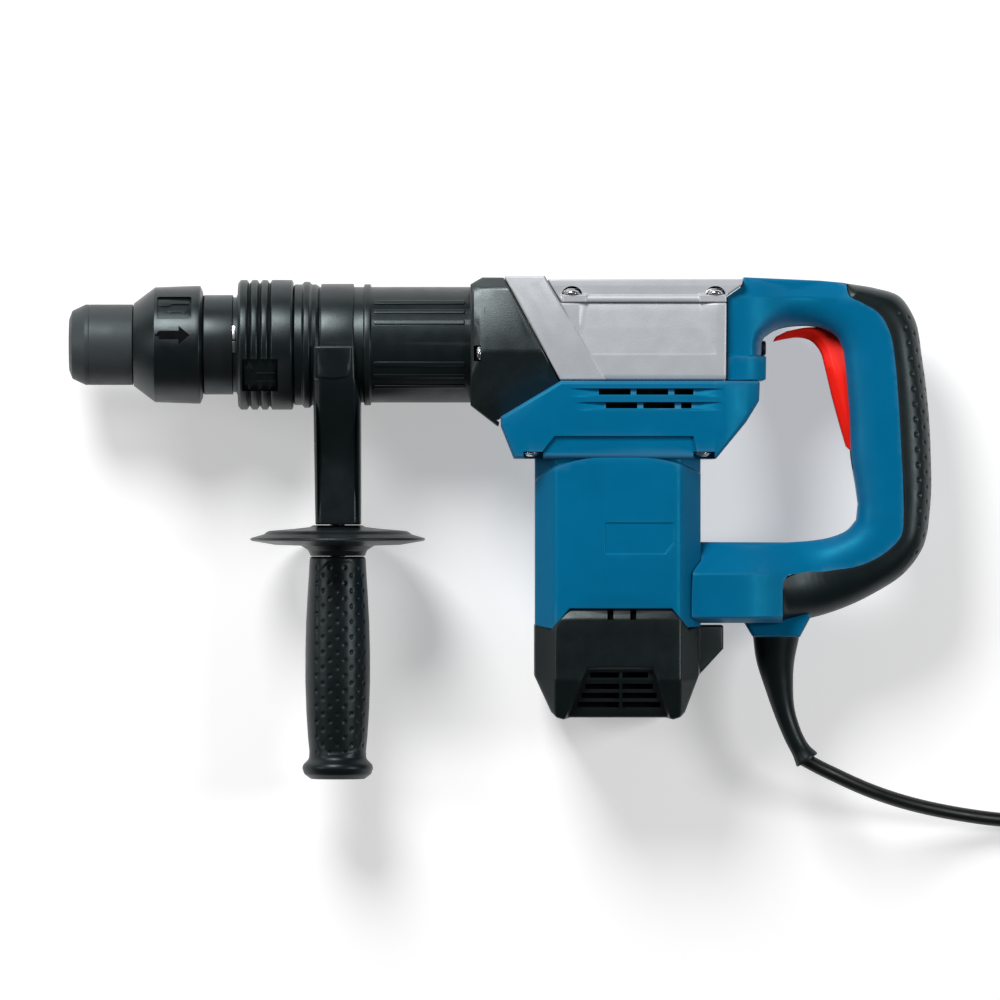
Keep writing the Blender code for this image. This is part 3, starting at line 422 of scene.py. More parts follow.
def make_look(name, colour, roughness, metallic=0.0, grain=(0.6, 0.03), mottle=0.06, wear=0.0,
              speckle=0.0, shine=0.5, tint=(1.0, 1.0, 1.0)):
    """A procedural finish; grain is the size and depth of its moulded or cast texture in mm."""
    made = bpy.data.materials.new(name)
    made.use_nodes = True
    tree = made.node_tree
    nodes, links = tree.nodes, tree.links
    shader = nodes["Principled BSDF"]
    shader.inputs["Metallic"].default_value = metallic
    shader.inputs["Specular IOR Level"].default_value = shine
    shader.inputs["Specular Tint"].default_value = (*tint, 1.0)
    place = nodes.new("ShaderNodeTexCoord")

    def noise(size, detail=2.0):
        item = nodes.new("ShaderNodeTexNoise")
        item.inputs["Scale"].default_value = 1000.0 / size
        item.inputs["Detail"].default_value = detail
        links.new(place.outputs["Object"], item.inputs["Vector"])
        return item.outputs["Fac"]

    def ramp(source, low, high, start, end):
        item = nodes.new("ShaderNodeMapRange")
        item.interpolation_type = "SMOOTHSTEP"
        limits = {"From Min": low, "From Max": high, "To Min": start, "To Max": end}
        for socket, value in limits.items():
            item.inputs[socket].default_value = value
        links.new(source, item.inputs["Value"])
        return item.outputs["Result"]

    def mix(factor, first, second):
        item = nodes.new("ShaderNodeMix")
        item.data_type = "RGBA"
        for socket, value in (("A", first), ("B", second)):
            target = [s for s in item.inputs if s.name == socket and s.type == "RGBA"][0]
            if isinstance(value, tuple):
                target.default_value = (*value, 1.0)
            else:
                links.new(value, target)
        links.new(factor, item.inputs["Factor"])
        return [s for s in item.outputs if s.type == "RGBA"][0]

    dark = tuple(c * (1 - mottle) for c in colour)
    light = tuple(min(c * (1 + mottle) + 0.004 * mottle, 1.0) for c in colour)
    tone = mix(ramp(noise(38.0, 4.0), 0.3, 0.7, 0.0, 1.0), dark, light)
    if speckle:
        bright = tuple(min(c + speckle, 1.0) for c in colour)
        tone = mix(ramp(noise(0.5, 1.0), 0.56, 0.72, 0.0, 0.8), tone, bright)
    if wear:
        edge = nodes.new("ShaderNodeNewGeometry")
        rubbed = tuple(c + wear * (0.5 - 0.4 * c) for c in colour)
        tone = mix(ramp(edge.outputs["Pointiness"], 0.505, 0.56, 0.0, 0.55), tone, rubbed)
    links.new(tone, shader.inputs["Base Color"])
    rough = ramp(noise(9.0, 5.0), 0.25, 0.75, roughness * 0.9, min(roughness * 1.12, 1.0))
    links.new(rough, shader.inputs["Roughness"])
    bump = nodes.new("ShaderNodeBump")
    bump.inputs["Strength"].default_value = 1.0
    bump.inputs["Distance"].default_value = grain[1] * MM
    links.new(noise(grain[0], 2.0), bump.inputs["Height"])
    links.new(bump.outputs["Normal"], shader.inputs["Normal"])
    MATERIALS[name] = made


COOL = (0.85, 0.98, 1.0)  # the highlights' colour on the black mouldings


def make_looks():
    make_look("blue", (0.0008, 0.121, 0.256), 0.40, grain=(0.8, 0.055), mottle=0.04, wear=0.10,
              shine=0.35, tint=(0.05, 0.75, 1.0))
    for name, colour, roughness, grain, wear, shine in (
        ("black", (0.0030, 0.0060, 0.0064), 0.35, (0.7, 0.060), 0.03, 0.45),
        ("cover_black", (0.0030, 0.0060, 0.0064), 0.42, (0.7, 0.075), 0.03, 0.85),
        ("cap_rubber", (0.034, 0.040, 0.042), 0.50, (0.9, 0.020), 0.02, 0.35),
        ("rubber", (0.0028, 0.0054, 0.0058), 0.38, (0.7, 0.020), 0.02, 0.32),
        ("grip", (0.0040, 0.0080, 0.0085), 0.38, (0.8, 0.035), 0.02, 0.32),
    ):
        make_look(name, colour, roughness, grain=grain, wear=wear, shine=shine, tint=COOL)
    make_look("blackened", (0.014, 0.018, 0.019), 0.36, metallic=0.3, grain=(0.9, 0.020),
              shine=0.45, tint=COOL)
    make_look("cord", (0.0030, 0.0045, 0.0048), 0.40, grain=(0.8, 0.008), shine=0.40)
    # The hollow look is near black and matte. On the walls of openings, slots and cavities it is
    # painted shade, standing for the casings' own plastic in shade. On the lock sleeve's arrow it
    # is the arrow's dark print.
    make_look("hollow", (0.0016, 0.0022, 0.0025), 0.85, grain=(1.0, 0.01), shine=0.1)
    make_look("silver", (0.455, 0.475, 0.50), 0.40, metallic=0.24, grain=(1.1, 0.050), mottle=0.025,
              wear=0.25, speckle=0.06)
    make_look("steel", (0.50, 0.50, 0.51), 0.30, metallic=1.0, grain=(1.5, 0.006))
    make_look("dark_steel", (0.035, 0.037, 0.040), 0.36, metallic=0.85, grain=(0.6, 0.015),
              wear=0.1)
    make_look("zinc", (0.62, 0.63, 0.65), 0.22, metallic=1.0, grain=(1.2, 0.006))
    make_look("copper", (0.62, 0.27, 0.12), 0.35, metallic=1.0, grain=(0.5, 0.05))
    make_look("laminate", (0.20, 0.20, 0.205), 0.45, metallic=0.9, grain=(0.7, 0.03))
    make_look("carbon", (0.012, 0.012, 0.012), 0.7, grain=(0.4, 0.02))
    make_look("red", (0.90, 0.012, 0.004), 0.50, grain=(1.1, 0.015), mottle=0.03, shine=0.20)


# Cord

CORD_D = 7.8
CORD_LEVEL = 3.95  # the middle of a cord that lies on the floor
COIL_CENTRE = (352.0, -104.0)
COIL_RADII = (57.7, 34.3)
CORD_ROUTE = [
    (165.4, -126, 48.2), (169.8, -128.4, 48), (174.6, -131, 47.5), (181.5, -134.3, 45.8),
    (190.5, -138.6, 42.3), (201.5, -143.4, 37.2), (213.5, -147.8, 30.6), (226.5, -151.7, 24.2),
    (240.5, -155, 18.4), (255.5, -157.8, 13.4), (271, -160, 9.4), (288, -161.4, 6.2),
    (304, -161.8, 4.4), (321.3, -161.8, CORD_LEVEL),
]
PLUG_REAR = (372.0, -60.0, 36.7)


def coil_point(turn):
    """The cord's middle in the coil: its angle, radius and level after a number of turns."""
    shifts = [(k + 0.65, -CORD_D) for k in range(3)]
    shifts += [(k + 4.0, CORD_D) for k in range(3)]
    shifts += [(k + 7.35, -CORD_D) for k in range(3)]
    radius = COIL_RADII[0] + sum(float(ease(turn, low, low + 0.35)) * by for low, by in shifts)
    rises = ((3.35, 0.4), (6.70, 0.4), (9.72, 0.38))
    level = CORD_LEVEL + sum(float(ease(turn, low, low + span)) * CORD_D for low, span in rises)
    angle = math.radians(270.0 + 360.0 * turn)
    x, y = COIL_CENTRE
    return Vector((x + radius * math.cos(angle), y + radius * math.sin(angle), level))


def cord_points():
    """The cord's middle line: its free run, its coil, and the tail to the plug."""
    free = resample(smooth([*CORD_ROUTE, (338.0, -161.75, CORD_LEVEL)], 12), 5.0)
    last = 10.05
    turns = np.arange(0.0, last, 1 / 32)
    wound = [coil_point(float(t)) for t in turns] + [coil_point(last)]
    start, end = wound[-1], Vector(PLUG_REAR)
    # A straight run and one arc lead from the coil's tangent to the plug's axis.
    leave = 2 * math.pi * (last % 1.0 - 0.25)
    outward = Vector((math.cos(leave), math.sin(leave), 0.0))
    bend = (start - end).dot(outward) / (1.0 - outward.y)
    tail = []
    for angle in np.linspace(leave, math.pi / 2, 28):
        x, y = end.x + bend * math.cos(angle), end.y - bend + bend * math.sin(angle)
        tail.append(Vector((x, y, 0.0)))
    tail = [start.lerp(tail[0], t) for t in (0.33, 0.67)] + tail
    for k, point in enumerate(tail):
        point.z = start.z + (end.z - start.z) * float(ease((k + 1) / len(tail), 0.15, 1.0))
    return [Vector(p) for p in free] + wound + tail


def make_cord():
    data = bpy.data.curves.new("power_cord", "CURVE")
    data.dimensions = "3D"
    data.bevel_depth = CORD_D / 2 * MM
    data.bevel_resolution = 5
    data.use_fill_caps = True
    points = cord_points()
    spline = data.splines.new("POLY")
    spline.points.add(len(points) - 1)
    for made, point in zip(spline.points, points):
        made.co = (*(point * MM), 1.0)
    cord = bpy.data.objects.new("power_cord", data)
    bpy.context.scene.collection.objects.link(cord)
    data.materials.append(MATERIALS["cord"])
    add(cord, "casing", "cord_rubber", "cord", "cord_coil")

    plug = make_plug()
    tie = make_tie()


def make_plug():
    """A round two-pin plug; its shape is worked out about its own axis, then put on the coil."""
    rear, axis_y, axis_z = PLUG_REAR
    a0, centre = rear - 46.0 + MID_A, (axis_y - BASE_H, axis_z - HALF_WIDTH)
    body = [(0.0, 0.0), (0.0, 17.4), (2.5, 18.0), (11.0, 17.6), (19.0, 15.0), (26.0, 12.4)]
    body = rounded([*body, (32.0, 10.0), (37.0, 6.6), (46.0, 5.2), (46.0, 0.0)], 1.5)
    body = lathe([(a0 + a, r) for a, r in body], "a", centre, 64, False)
    plug = finish_mesh("plug_body", body, "cord")
    ribs = []
    for along in (34.5, 38.0, 41.5):
        for out in (-1, 1):
            across = (centre[0] + out * 4.4, centre[0] + out * 12.0)
            rib = box_outline((a0 + along, a0 + along + 1.3), across)
            ribs.append(prism(rib, centre[1] - 9, centre[1] + 9))
    cut(plug, ribs)
    flat = prism(box_outline((a0 - 5, a0 + 60), (centre[0] - 13.5, centre[0] + 13.5)),
                 centre[1] - 12.9, centre[1] + 12.9)
    boolean(plug, "INTERSECT", flat)
    for out in (1, -1):
        pin = rounded([(a0 - 19.0, 0.0), (a0 - 19.0, 2.4), (a0 - 8.0, 2.4, 0), (a0 + 1.0, 2.4),
                       (a0 + 1.0, 0.0)], 1.4)
        pin = lathe(pin, "a", (centre[0] + out * 9.5, centre[1]), 24, False)
        boolean(plug, "UNION", pin, "zinc")
    return add(plug, "casing", "cord_rubber", "plug")


def make_tie():
    """A strap round the coil, away from the plug."""
    angle = math.radians(205.0)
    outward = Vector((math.cos(angle), math.sin(angle), 0.0))
    along = Vector((-outward.y, outward.x, 0.0))
    middle = Vector((*COIL_CENTRE, 0.0)) + outward * sum(COIL_RADII) / 2
    rings = []
    for depth, wide in ((0.0, 7.0), (1.1, 7.0), (1.1, -7.0), (0.0, -7.0)):
        low, high = (-16.4 - depth, 1.0 - depth * 0.9), (16.4 + depth, 24.0 + depth)
        shape = rounded(box_outline((low[0], high[0]), (low[1], high[1])), 4.0 + depth, closed=True)
        rings.append([
            tuple(middle + outward * u + along * wide + Vector((MID_A, -BASE_H, v - HALF_WIDTH)))
            for u, v in shape
        ])
    tie = finish_mesh("cord_tie", loops(rings, join_ends=True), "rubber")
    return add(tie, "casing", "cord_rubber")


# Nose: what turns with the tool holder


def barrel_side(radius, rise=0.0):
    """The level of a round surface about the barrel axis, seen from the side."""
    return lambda a, h, d: np.sqrt(np.maximum(radius**2 - h**2, 1.0)) + rise


def arrow(tail, tip, half, head_half, head):
    """The outline of an arrow along a, at a height h."""
    (a0, h), a1 = tail, tip
    neck = a1 - head if a1 > a0 else a1 + head
    return [(a0, h - half), (neck, h - half), (neck, h - head_half), (a1, h), (neck, h + head_half),
            (neck, h + half), (a0, h + half)]


def make_nose():
    cap = [
        (0, 10.6), (0, 14.2), (1.7, 18.6), (8.9, 22, 2.5), (10.8, 22, 0.1), (11.05, 21.75, 0.1),
        (11.3, 22, 0.1), (34.9, 22, 0.5), (34.9, 14.9), (3.7, 14.9), (3.7, 10.6, 0.5),
    ]
    cap_item = finish_mesh("nose_cap", lathe(rounded(cap, 1.2, closed=True)), "cap_rubber")
    add(cap_item, "tool_holder", "black_rubber", "dust_cap")

    neck = [
        (4, 8.3), (4, 14.6), (35.2, 14.6), (35.2, 18), (73.2, 18), (73.2, 26.6), (74, 27.2),
        (89.4, 27.2, 0.3), (89.6, 26, 0.1), (91.4, 26, 0.1), (91.6, 27.2, 0.3), (122, 27.2),
        (150, 27), (150, 11.3), (80, 11.3), (80, 8.3),
    ]
    holder = finish_mesh("holder_neck", lathe(rounded(neck, 0.5, 3, closed=True)), "blackened")
    corners = [k * math.pi / 3 for k in range(6)]
    hexagon = [(10.0 * math.cos(t), 10.0 * math.sin(t)) for t in corners]
    cut(holder, prism(hexagon, 1.0, 79.5, "hs"), "dark_steel")
    cut(holder, prism(box_outline((42.2, 49.8), (4.0, 19.0)), -5.4, 5.4), "dark_steel")
    for low, high in ((-4.4, 1.6), (2.6, 10.0)):
        bit = relief(box_outline((89.5, 91.3), (low, high)), barrel_side(26.9), barrel_side(25.0),
                     edge=0.2, grid=2.0)
        boolean(holder, "UNION", bit, "zinc")
    add(holder, "tool_holder", "blackened_steel", "tool_holder")

    sleeve = [
        (35.3, 18.4), (35.3, 22.6, 0.5), (46.9, 31.4, 0.8), (69.4, 32.2, 0.8), (71.6, 32.2, 0.8),
        (73, 28.8, 0.6), (73, 27.7), (51.5, 27.7), (51.5, 18.4),
    ]
    sleeve = lathe(rounded(sleeve, 0.4, 3, closed=True), sides=128)
    item = finish_mesh("release_sleeve", sleeve, "black")
    window = rounded(box_outline((48.4, 67.2), (13.6, 25.9)), 1.2, closed=True)
    cut(item, relief(window, barrel_side(40.0), barrel_side(30.6), edge=0, grid=2.0))
    chisel = [
        (49.6, 21), (55, 20.9), (56.6, 21.9), (66, 21.9), (66, 23.2), (56.6, 23.2), (55, 24.3),
        (49.6, 24.2),
    ]
    double = [
        (53.6, 18), (56.2, 19.7), (56.2, 18.8), (62.6, 18.8), (62.6, 19.7), (65.2, 18),
        (62.6, 16.3), (62.6, 17.2), (56.2, 17.2), (56.2, 16.3),
    ]
    for outline in (chisel, double):
        mark = relief(outline, barrel_side(31.2), barrel_side(30.0), edge=0.15, grid=2.0, soft=0)
        boolean(item, "UNION", mark)
    big = arrow((47.6, 4.9), 66.4, 2.3, 5.1, 6.0)
    cut(item, relief(big, barrel_side(40.0), barrel_side(31.5), edge=0, grid=2.5), "hollow")
    add(item, "lock_sleeve", "black_plastic", "lock_sleeve")

    crest, root = 35.5, 33.2
    ring = [(92.3, 27.7), (92.3, 33.6, 0.8), (93.8, crest, 1.2)]
    for groove, half in ((98.6, 1.35), (104.2, 1.35), (109.6, 1.2)):
        ring += [(groove - half, crest, 1.0), (groove, root, 0.5), (groove + half, crest, 1.0)]
    ring += [(121.6, crest, 0.8), (122.4, 34.4, 0.4), (122.4, 27.7)]
    item = finish_mesh("chisel_ring", lathe(rounded(ring, 0.3, closed=True), sides=128), "black")
    window = rounded(box_outline((94.8, 114.4), (-25.6, -8.2)), 0.8, closed=True)
    cut(item, relief(window, barrel_side(42.0), barrel_side(33.0), edge=0, grid=2.0))
    marks = [
        [(u, v) for v, u in arrow((-23.6, 98.6), -10.2, 0.9, 2.6, 3.6)],
        box_outline((102.4, 113), (-16.2, -15.6)), box_outline((102.4, 113), (-20.4, -19.8)),
    ]
    for outline in marks:
        mark = relief(outline, barrel_side(33.5), barrel_side(32.4), edge=0.1, grid=2.0, soft=0)
        boolean(item, "UNION", mark)
    add(item, "adjusting_ring", "black_plastic", "adjusting_ring")
    make_spring()


def make_spring():
    """The lock sleeve's spring, built at rest; in the real tool it squashes as the sleeve is pulled
    back.
    """
    rings = []
    turns, sides, wire = 3.0, 10, 1.1
    for i in range(97):
        t = i / 96
        angle = 2 * math.pi * turns * t
        along = 53.0 + 18.9 * float(np.interp(t, [0, 0.1, 0.9, 1], [0.0, 0.03, 0.97, 1.0]))
        ring = []
        for k in range(sides):
            turn = 2 * math.pi * k / sides
            reach = 22.8 + wire * math.cos(turn)
            level = along + wire * math.sin(turn)
            ring.append((level, reach * math.cos(angle), reach * math.sin(angle)))
        rings.append(ring)
    item = finish_mesh("sleeve_spring", loops(rings), "steel")
    add(item, "tool_holder", "ground_steel", "lock_spring")
    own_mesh(item)


# Barrel and front cover


def make_barrel():
    barrel = [
        (122.7, 27.5), (122.7, 32.2, 0.5), (123.4, 33, 0.5), (127.2, 33, 0.5), (128.5, 34.5, 0.7),
        (131.3, 34.5, 0.7), (132.6, 33, 0.5), (135, 33, 0.6), (136.9, BARREL_R, 0.6),
        (161, BARREL_R, 0.3), (161.3, 33.1, 0.6), (164.7, 33.1, 0.6), (165, BARREL_R, 0.3),
        (234.5, BARREL_R, 0.5), (234.5, 27.5),
    ]
    barrel = lathe(rounded(barrel, 0.3, 3, closed=True), sides=144)
    item = finish_mesh("barrel_tube", barrel, "black")
    ribs = ((23.1, 1.0), (17.9, 1.15), (12.0, 1.3), (-10.9, 1.3), (-17.5, 1.15), (-23.4, 1.0))
    for h, half in ribs:
        bar = rounded(box_outline((166.4, 216.4), (h - half, h + half)), half * 0.95, closed=True)
        outer, inner = barrel_side(BARREL_R + 0.65), barrel_side(BARREL_R - 0.8)
        rib = relief(bar, outer, inner, edge=0.45, soft=0)
        boolean(item, "UNION", rib)
        rib = relief([(a, -v) for a, v in bar], lambda a, h, d: -inner(a, h, d),
                     lambda a, h, d: -outer(a, h, d), edge=0, soft=0)
        boolean(item, "UNION", rib)
    add(item, "casing", "black_plastic", "barrel_sleeve")


def swell(h, across, rate, growth):
    """How much the side of the casing falls off towards its top, more so away from a joint line."""
    return (rate + growth * np.clip(across / 30.0, 0.0, 1.2)) * np.maximum(h + 8.0, 0.0) ** 2


def cover_level(a, h, d):
    """The front cover's side, with its front, roof and lower chamfers."""
    side = 40.6 - swell(h, 237.2 + (36.3 - h) * 0.5365 - a, 0.0036, 0.0040)
    front = 34.6 + (a - 219.2) * 0.88
    roof = side - (h - 30.4) * 0.9
    under = 40.6 - (-3.8 - h) * 0.42
    return np.minimum.reduce([side, front, roof, under])


def make_front_cover():
    side = [
        (219.2, 32.6), (225.7, 36.4), (237.2, 36.3), (267.9, -20.9), (235.2, -40.6), (234.4, -45),
        (219.2, -33.2),
    ]
    lines = [
        [(225.8, 30.4), (225.8, -3.8)], [(225.8, 30.4), (218, 37)], [(225.8, 30.4), (242, 30.4)],
        [(225.8, -3.8), (260, -3.8)], [(225.8, -3.8), (211.8, -33)],
    ]
    outline = rounded(side, 0.6, 2, closed=True)
    body = relief(outline, cover_level, lines=lines, edge=0.9, soft=0.8, grid=4.0)
    item = finish_mesh("nose_cover", body, "cover_black")
    hollow = [
        (222.7, 29.8), (227.4, 33), (260, 33), (290, -16), (250, -60), (236.5, -44), (222.7, -31.5),
    ]
    cut(item, prism(hollow, -25.0, 25.0))
    cut(item, rod(200.0, 240.0, BARREL_R + 0.35))
    for index, out in enumerate((1, -1), 1):
        notch = rounded(box_outline((221.0, 224.8), (-9.4, -0.8)), 0.6, closed=True)
        # The notch's walls take the hollow look: painted shade round the screw head.
        cut(item, prism(notch, *sorted((out * 33.0, out * 50.0))), "hollow")
        screw = make_screw(f"cover_screw_{index}", (-5.0, out * 37.0), 224.9, -1, 4.1, "a")
        add(screw, "casing", "screw_steel", f"front_screw_{index}")
    add(item, "casing", "black_plastic", "front_cover")


def make_screw(name, centre, seat, side, head_r, axis, washer=0.0):
    """A pan head with a six-lobed recess, its rim a flange if washer gives the flange's radius."""
    rise = 0.62 * head_r
    profile = [(-3.0, 0.0), (-3.0, head_r * 0.4), (0.0, head_r * 0.4)]
    if washer:
        profile += [(0.0, washer), (0.7, washer), (0.9, head_r)]
    else:
        profile += [(0.0, head_r)]
    profile += [(0.45 * rise, head_r * 0.99), (0.85 * rise, head_r * 0.78)]
    profile += [(rise, head_r * 0.42), (rise, 0.0)]
    profile = rounded(profile, 0.4 * head_r, 3)
    levels = [(seat + side * along, radius) for along, radius in profile]
    item = finish_mesh(name, lathe(levels, axis, centre, 40, False), "zinc", 50.0)
    star = []
    for k in range(36):
        t = 2 * math.pi * k / 36
        reach = head_r * (0.40 + 0.07 * math.cos(6 * t))
        star.append((centre[0] + reach * math.cos(t), centre[1] + reach * math.sin(t)))
    plane = {"h": "as", "s": "ah", "a": "hs"}[axis]
    low, high = sorted((seat + side * rise * 0.25, seat + side * (rise + 1.0)))
    # The recess's faces take the dark steel look: painted shade in the recess.
    cut(item, prism(star, low, high, plane), "dark_steel")
    return item


# Gear housing and lid

SIDE = 43.5  # the gear housing's half width
PANEL_FLOOR = 40.6


def band_edge(h):
    """Where the raised slanting band of the housing ends, along a."""
    return 259.3 + (37.0 - h) * 0.585


def housing_level(a, h, d):
    """The gear housing's side: a slanting raised band, then a sunk panel with sloping sides."""
    right = PANEL_FLOOR + (a - 343.0) * 0.29
    back = PANEL_FLOOR + 0.11 * (24.0 - np.maximum(h, 8.6)) + 0.075 * np.maximum(8.6 - h, 0.0)
    left = PANEL_FLOOR + np.where(a > 278.4, (282.5 - a) * 0.45, 1.85 + (278.4 - a) * 0.12)
    panel = np.minimum(np.maximum.reduce([back, right, left]), SIDE)
    panel = np.where((h < -5.8) | (a > 353.2), SIDE, panel) - np.maximum(-17.2 - h, 0.0) * 0.35
    across = band_edge(h) - a
    band = SIDE + 0.6 - 0.14 * np.clip(across, 0.0, 60.0) - swell(h, across, 0.0026, 0.0026)
    return np.where(across > 0.0, band, panel)


def make_gear_housing():
    side = [(237.4, 37), (259.6, 37), (268.2, 22.2), (358.4, 22.2), (358.1, -19.6), (268, -19.6)]
    outline = rounded(side, 0.8, 3, closed=True)
    edge = [(band_edge(h), h) for h in (38.0, -21.0)]
    lines = [
        edge, [(284.4, -5.8), (353.2, -5.8), (353.2, 24)], [(282.5, 24), (282.5, 8.6)],
        [(278.4, 24), (278.4, 5.6)], [(343, 24), (343, 8.6)], [(282.5, 8.6), (343, 8.6)],
        [(343, 8.6), (353.2, -5.2)], [(282.5, 8.6), (278.4, 1.9)], [(278.4, 1.9), (277, 1.2)],
        [(262, -17.2), (360, -17.2)],
    ]
    body = relief(outline, housing_level, lines=lines, edge=1.0, soft=0.45, grid=6.0)
    item = finish_mesh("gearbox", body, "silver", 30.0)
    add(item, "casing", "cast_aluminium", "gear_housing")


LEDGE_H = 26.9  # where the lid's screws sit
LID_SIDE = 41.3


def lid_level(a, h, d):
    """The lid's side: a bead along its joint and a raised pad below each screw."""
    bead = 1.5 * np.sqrt(np.maximum(1.0 - ((h - 24.3) / 2.1) ** 2, 0.0))
    level = LID_SIDE + np.where((a > 268.0) & (a < 358.0), bead, 0.0)
    for low, high in ((269.0, 282.7), (343.3, 359.0)):
        pad = ease(a, low - 0.8, low + 0.8) * (1.0 - ease(a, high - 0.8, high + 0.8))
        pad = pad * (1.0 - ease(h, LEDGE_H - 0.6, LEDGE_H + 0.2))
        level = np.maximum(level, LID_SIDE + 2.2 * pad)
    return level - np.maximum(h - 31.6, 0.0) * 0.12


def make_lid():
    side = [
        (260.9, 35.4), (367.6, 35.4), (366.7, 31.9), (358.4, 26.2), (358.4, 22.5), (268.6, 22.5),
    ]
    outline = rounded(side, 0.7, 3, closed=True)
    lines = [[(268.0, h), (358.0, h)] for h in (22.6, 23.2, 24.3, 25.4, 26.1, 26.4)]
    lines += [[(262.0, 31.6), (368.0, 31.6)]]
    for low, high in ((269.0, 282.7), (343.3, 358.2)):
        for reach in (0.8, -0.8):
            pad = [(low - reach, 22.0), (low - reach, LEDGE_H + 0.2), (high + reach, LEDGE_H + 0.2)]
            lines.append([*pad, (high + reach, 22.0)])
        lines.append([(low, LEDGE_H - 0.6), (high, LEDGE_H - 0.6)])
    lid = relief(outline, lid_level, lines=lines, edge=0.9, soft=0.25, grid=3.0)
    item = finish_mesh("gearbox_lid", lid, "silver", 30.0)
    cut(item, prism(box_outline((270.0, 357.0), (8.0, 31.2)), -38.5, 38.5))
    add(item, "casing", "cast_aluminium", "gear_lid")
    pockets = []
    for a in (274.4, 352.3):
        arch = ellipse((a, LEDGE_H), (5.5, 4.5), 32)
        arch = [(u, max(v, LEDGE_H)) for u, v in arch]
        arch = [p for k, p in enumerate(arch) if p != arch[k - 1]]
        pockets += both_sides(arch, 35.5, 60.0)
    cut(item, pockets, "silver")
    for index, (a, out) in enumerate(((274.4, 1), (352.3, 1), (274.4, -1), (352.3, -1)), 1):
        screw = make_screw(f"cap_screw_{index}", (a, out * 40.4), LEDGE_H, 1, 4.4, "h")
        add(screw, "casing", "screw_steel", f"lid_screw_{index}")


# Flange, motor housing and end cap

# Each row's slots, the height of its upper edge, and where its groove starts and ends
VENT_ROWS = (
    (((288.9, 306.2), (309.3, 326.6), (329.9, 340.3)), -24.5, (272.8, 357.4)),
    (((292.7, 309.8), (313.1, 330.2), (333.6, 339.3)), -31.9, (276.0, 356.8)),
)
VENT_DROP = 3.9
VENT_TAPER = 14.5


def flange_level(a, h, d):
    """The flange's side, with a groove for each row of vents and a recess at its foot."""
    level = 47.9 - 9.0 * np.clip((a - 352.0) / 24.0, 0.0, 1.0) ** 2
    level = level - 2.2 * np.clip((252.0 - a) / 16.0, 0.0, 1.0) ** 2
    for _, top, (start, end) in VENT_ROWS:
        below = (top - h) / VENT_DROP
        deep = np.where((below > 0) & (below < 1), 2.6 * (1.0 - 0.72 * below), 0.0)
        rise = np.clip((a - start) / VENT_TAPER, 0.0, 1.0)
        fall = np.clip((end - a) / VENT_TAPER, 0.0, 1.0)
        level = level - deep * (rise * fall)
    recess = (h < -50.4) & (h < -50.4 - (264.9 - a) * 1.27) & (h < -50.4 - (a - 340.2) * 5.0)
    return level - np.where(recess, 2.0, 0.0)


def make_flange():
    side = [
        (268.3, -20.1), (376.6, -20.1, 1.5), (376.2, -31, 4), (369, -42.6, 6), (352.6, -62.5),
        (242.8, -62.3), (235.7, -44.5), (235.6, -39.6),
    ]
    outline = rounded(side, 1.0, 4, closed=True)
    lines = []
    for _, top, (start, end) in VENT_ROWS:
        for h in (top, top - VENT_DROP):
            lines.append([(start, h), (start + VENT_TAPER, h), (end - VENT_TAPER, h), (end, h)])
    lines.append([(258.6, -58.4), (264.9, -50.4), (340.2, -50.4), (342.6, -62.4)])
    lines.append([(258.6, -58.4), (255.0, -63.0)])
    lines += [[(a, -19.0), (a, -66.0)] for a in (352.0, 358.0, 364.0, 370.0)]
    lines.append([(252.0, -20.0), (252.0, -66.0)])
    body = relief(outline, flange_level, lines=lines, edge=2.2, soft=0.3, grid=7.0)
    item = finish_mesh("flange_casing", body, "blue", 32.0)
    hollow = [
        (276, -18), (372.3, -18), (372.3, -31.2), (364.3, -42.3), (352, -57.5), (262, -57.5),
        (245.5, -52), (239.8, -43.4), (272, -26),
    ]
    # The cavity, the inner box and the vent slots take the hollow look: painted shade on their
    # walls.
    cut(item, prism(hollow, -38.5, 38.5), "hollow")
    cut(item, rod(230.0, 290.0, 27.6, sides=72))
    cut(item, prism(box_outline((272.0, 354.3), (-40.0, -15.0)), -30.3, 30.3), "hollow")
    slots = []
    for openings, top, _ in VENT_ROWS:
        for low, high in openings:
            shape = rounded(box_outline((low, high), (top - 3.2, top - 0.25)), 0.3, 2, closed=True)
            slots += both_sides(shape, 39.2, 60.0)
    cut(item, slots, "hollow")
    corners = ((252.4, 1), (345.3, 1), (252.4, -1), (345.3, -1))
    pockets = []
    for a, out in corners:
        reach = (a - 4.4, a + 6.4) if a < 300.0 else (a - 5.0, a + 6.6)
        pocket = rounded(box_outline(reach, sorted((out * 35.0, out * 60.0))), 1.5, closed=True)
        pockets.append(prism(pocket, -70.0, -58.6, "as"))
    cut(item, pockets)
    add(item, "casing", "blue_housing", "intermediate_flange")
    for index, (a, out) in enumerate(corners, 1):
        screw = make_screw(f"base_screw_{index}", (a, out * 42.6), -58.9, -1, 3.7, "h", washer=4.6)
        add(screw, "casing", "screw_steel", f"flange_screw_{index}")


def motor_level(a, h, d):
    """The motor housing's side: bowed, with corner facets, an arch and a recess for a plate."""
    out = np.abs(a - MOTOR_A)
    level = 45.9 - 0.0012 * out**2 - 0.64 * (out - FACET_A + np.hypot(out - FACET_A, 1.8))
    arch = -79.5 + 18.5 * np.sqrt(np.maximum(1.0 - ((a - 301.5) / 48.5) ** 2, 0.0))
    level = level - 3.2 * ease(h - arch, -0.3, 0.9)
    plate = (a > 292.3) & (a < 329.6) & (h < -97.4) & (h > -114.2)
    plate &= h > -114.2 + (a - 325.0) * 1.32
    return level - np.where(plate, 0.5, 0.0)


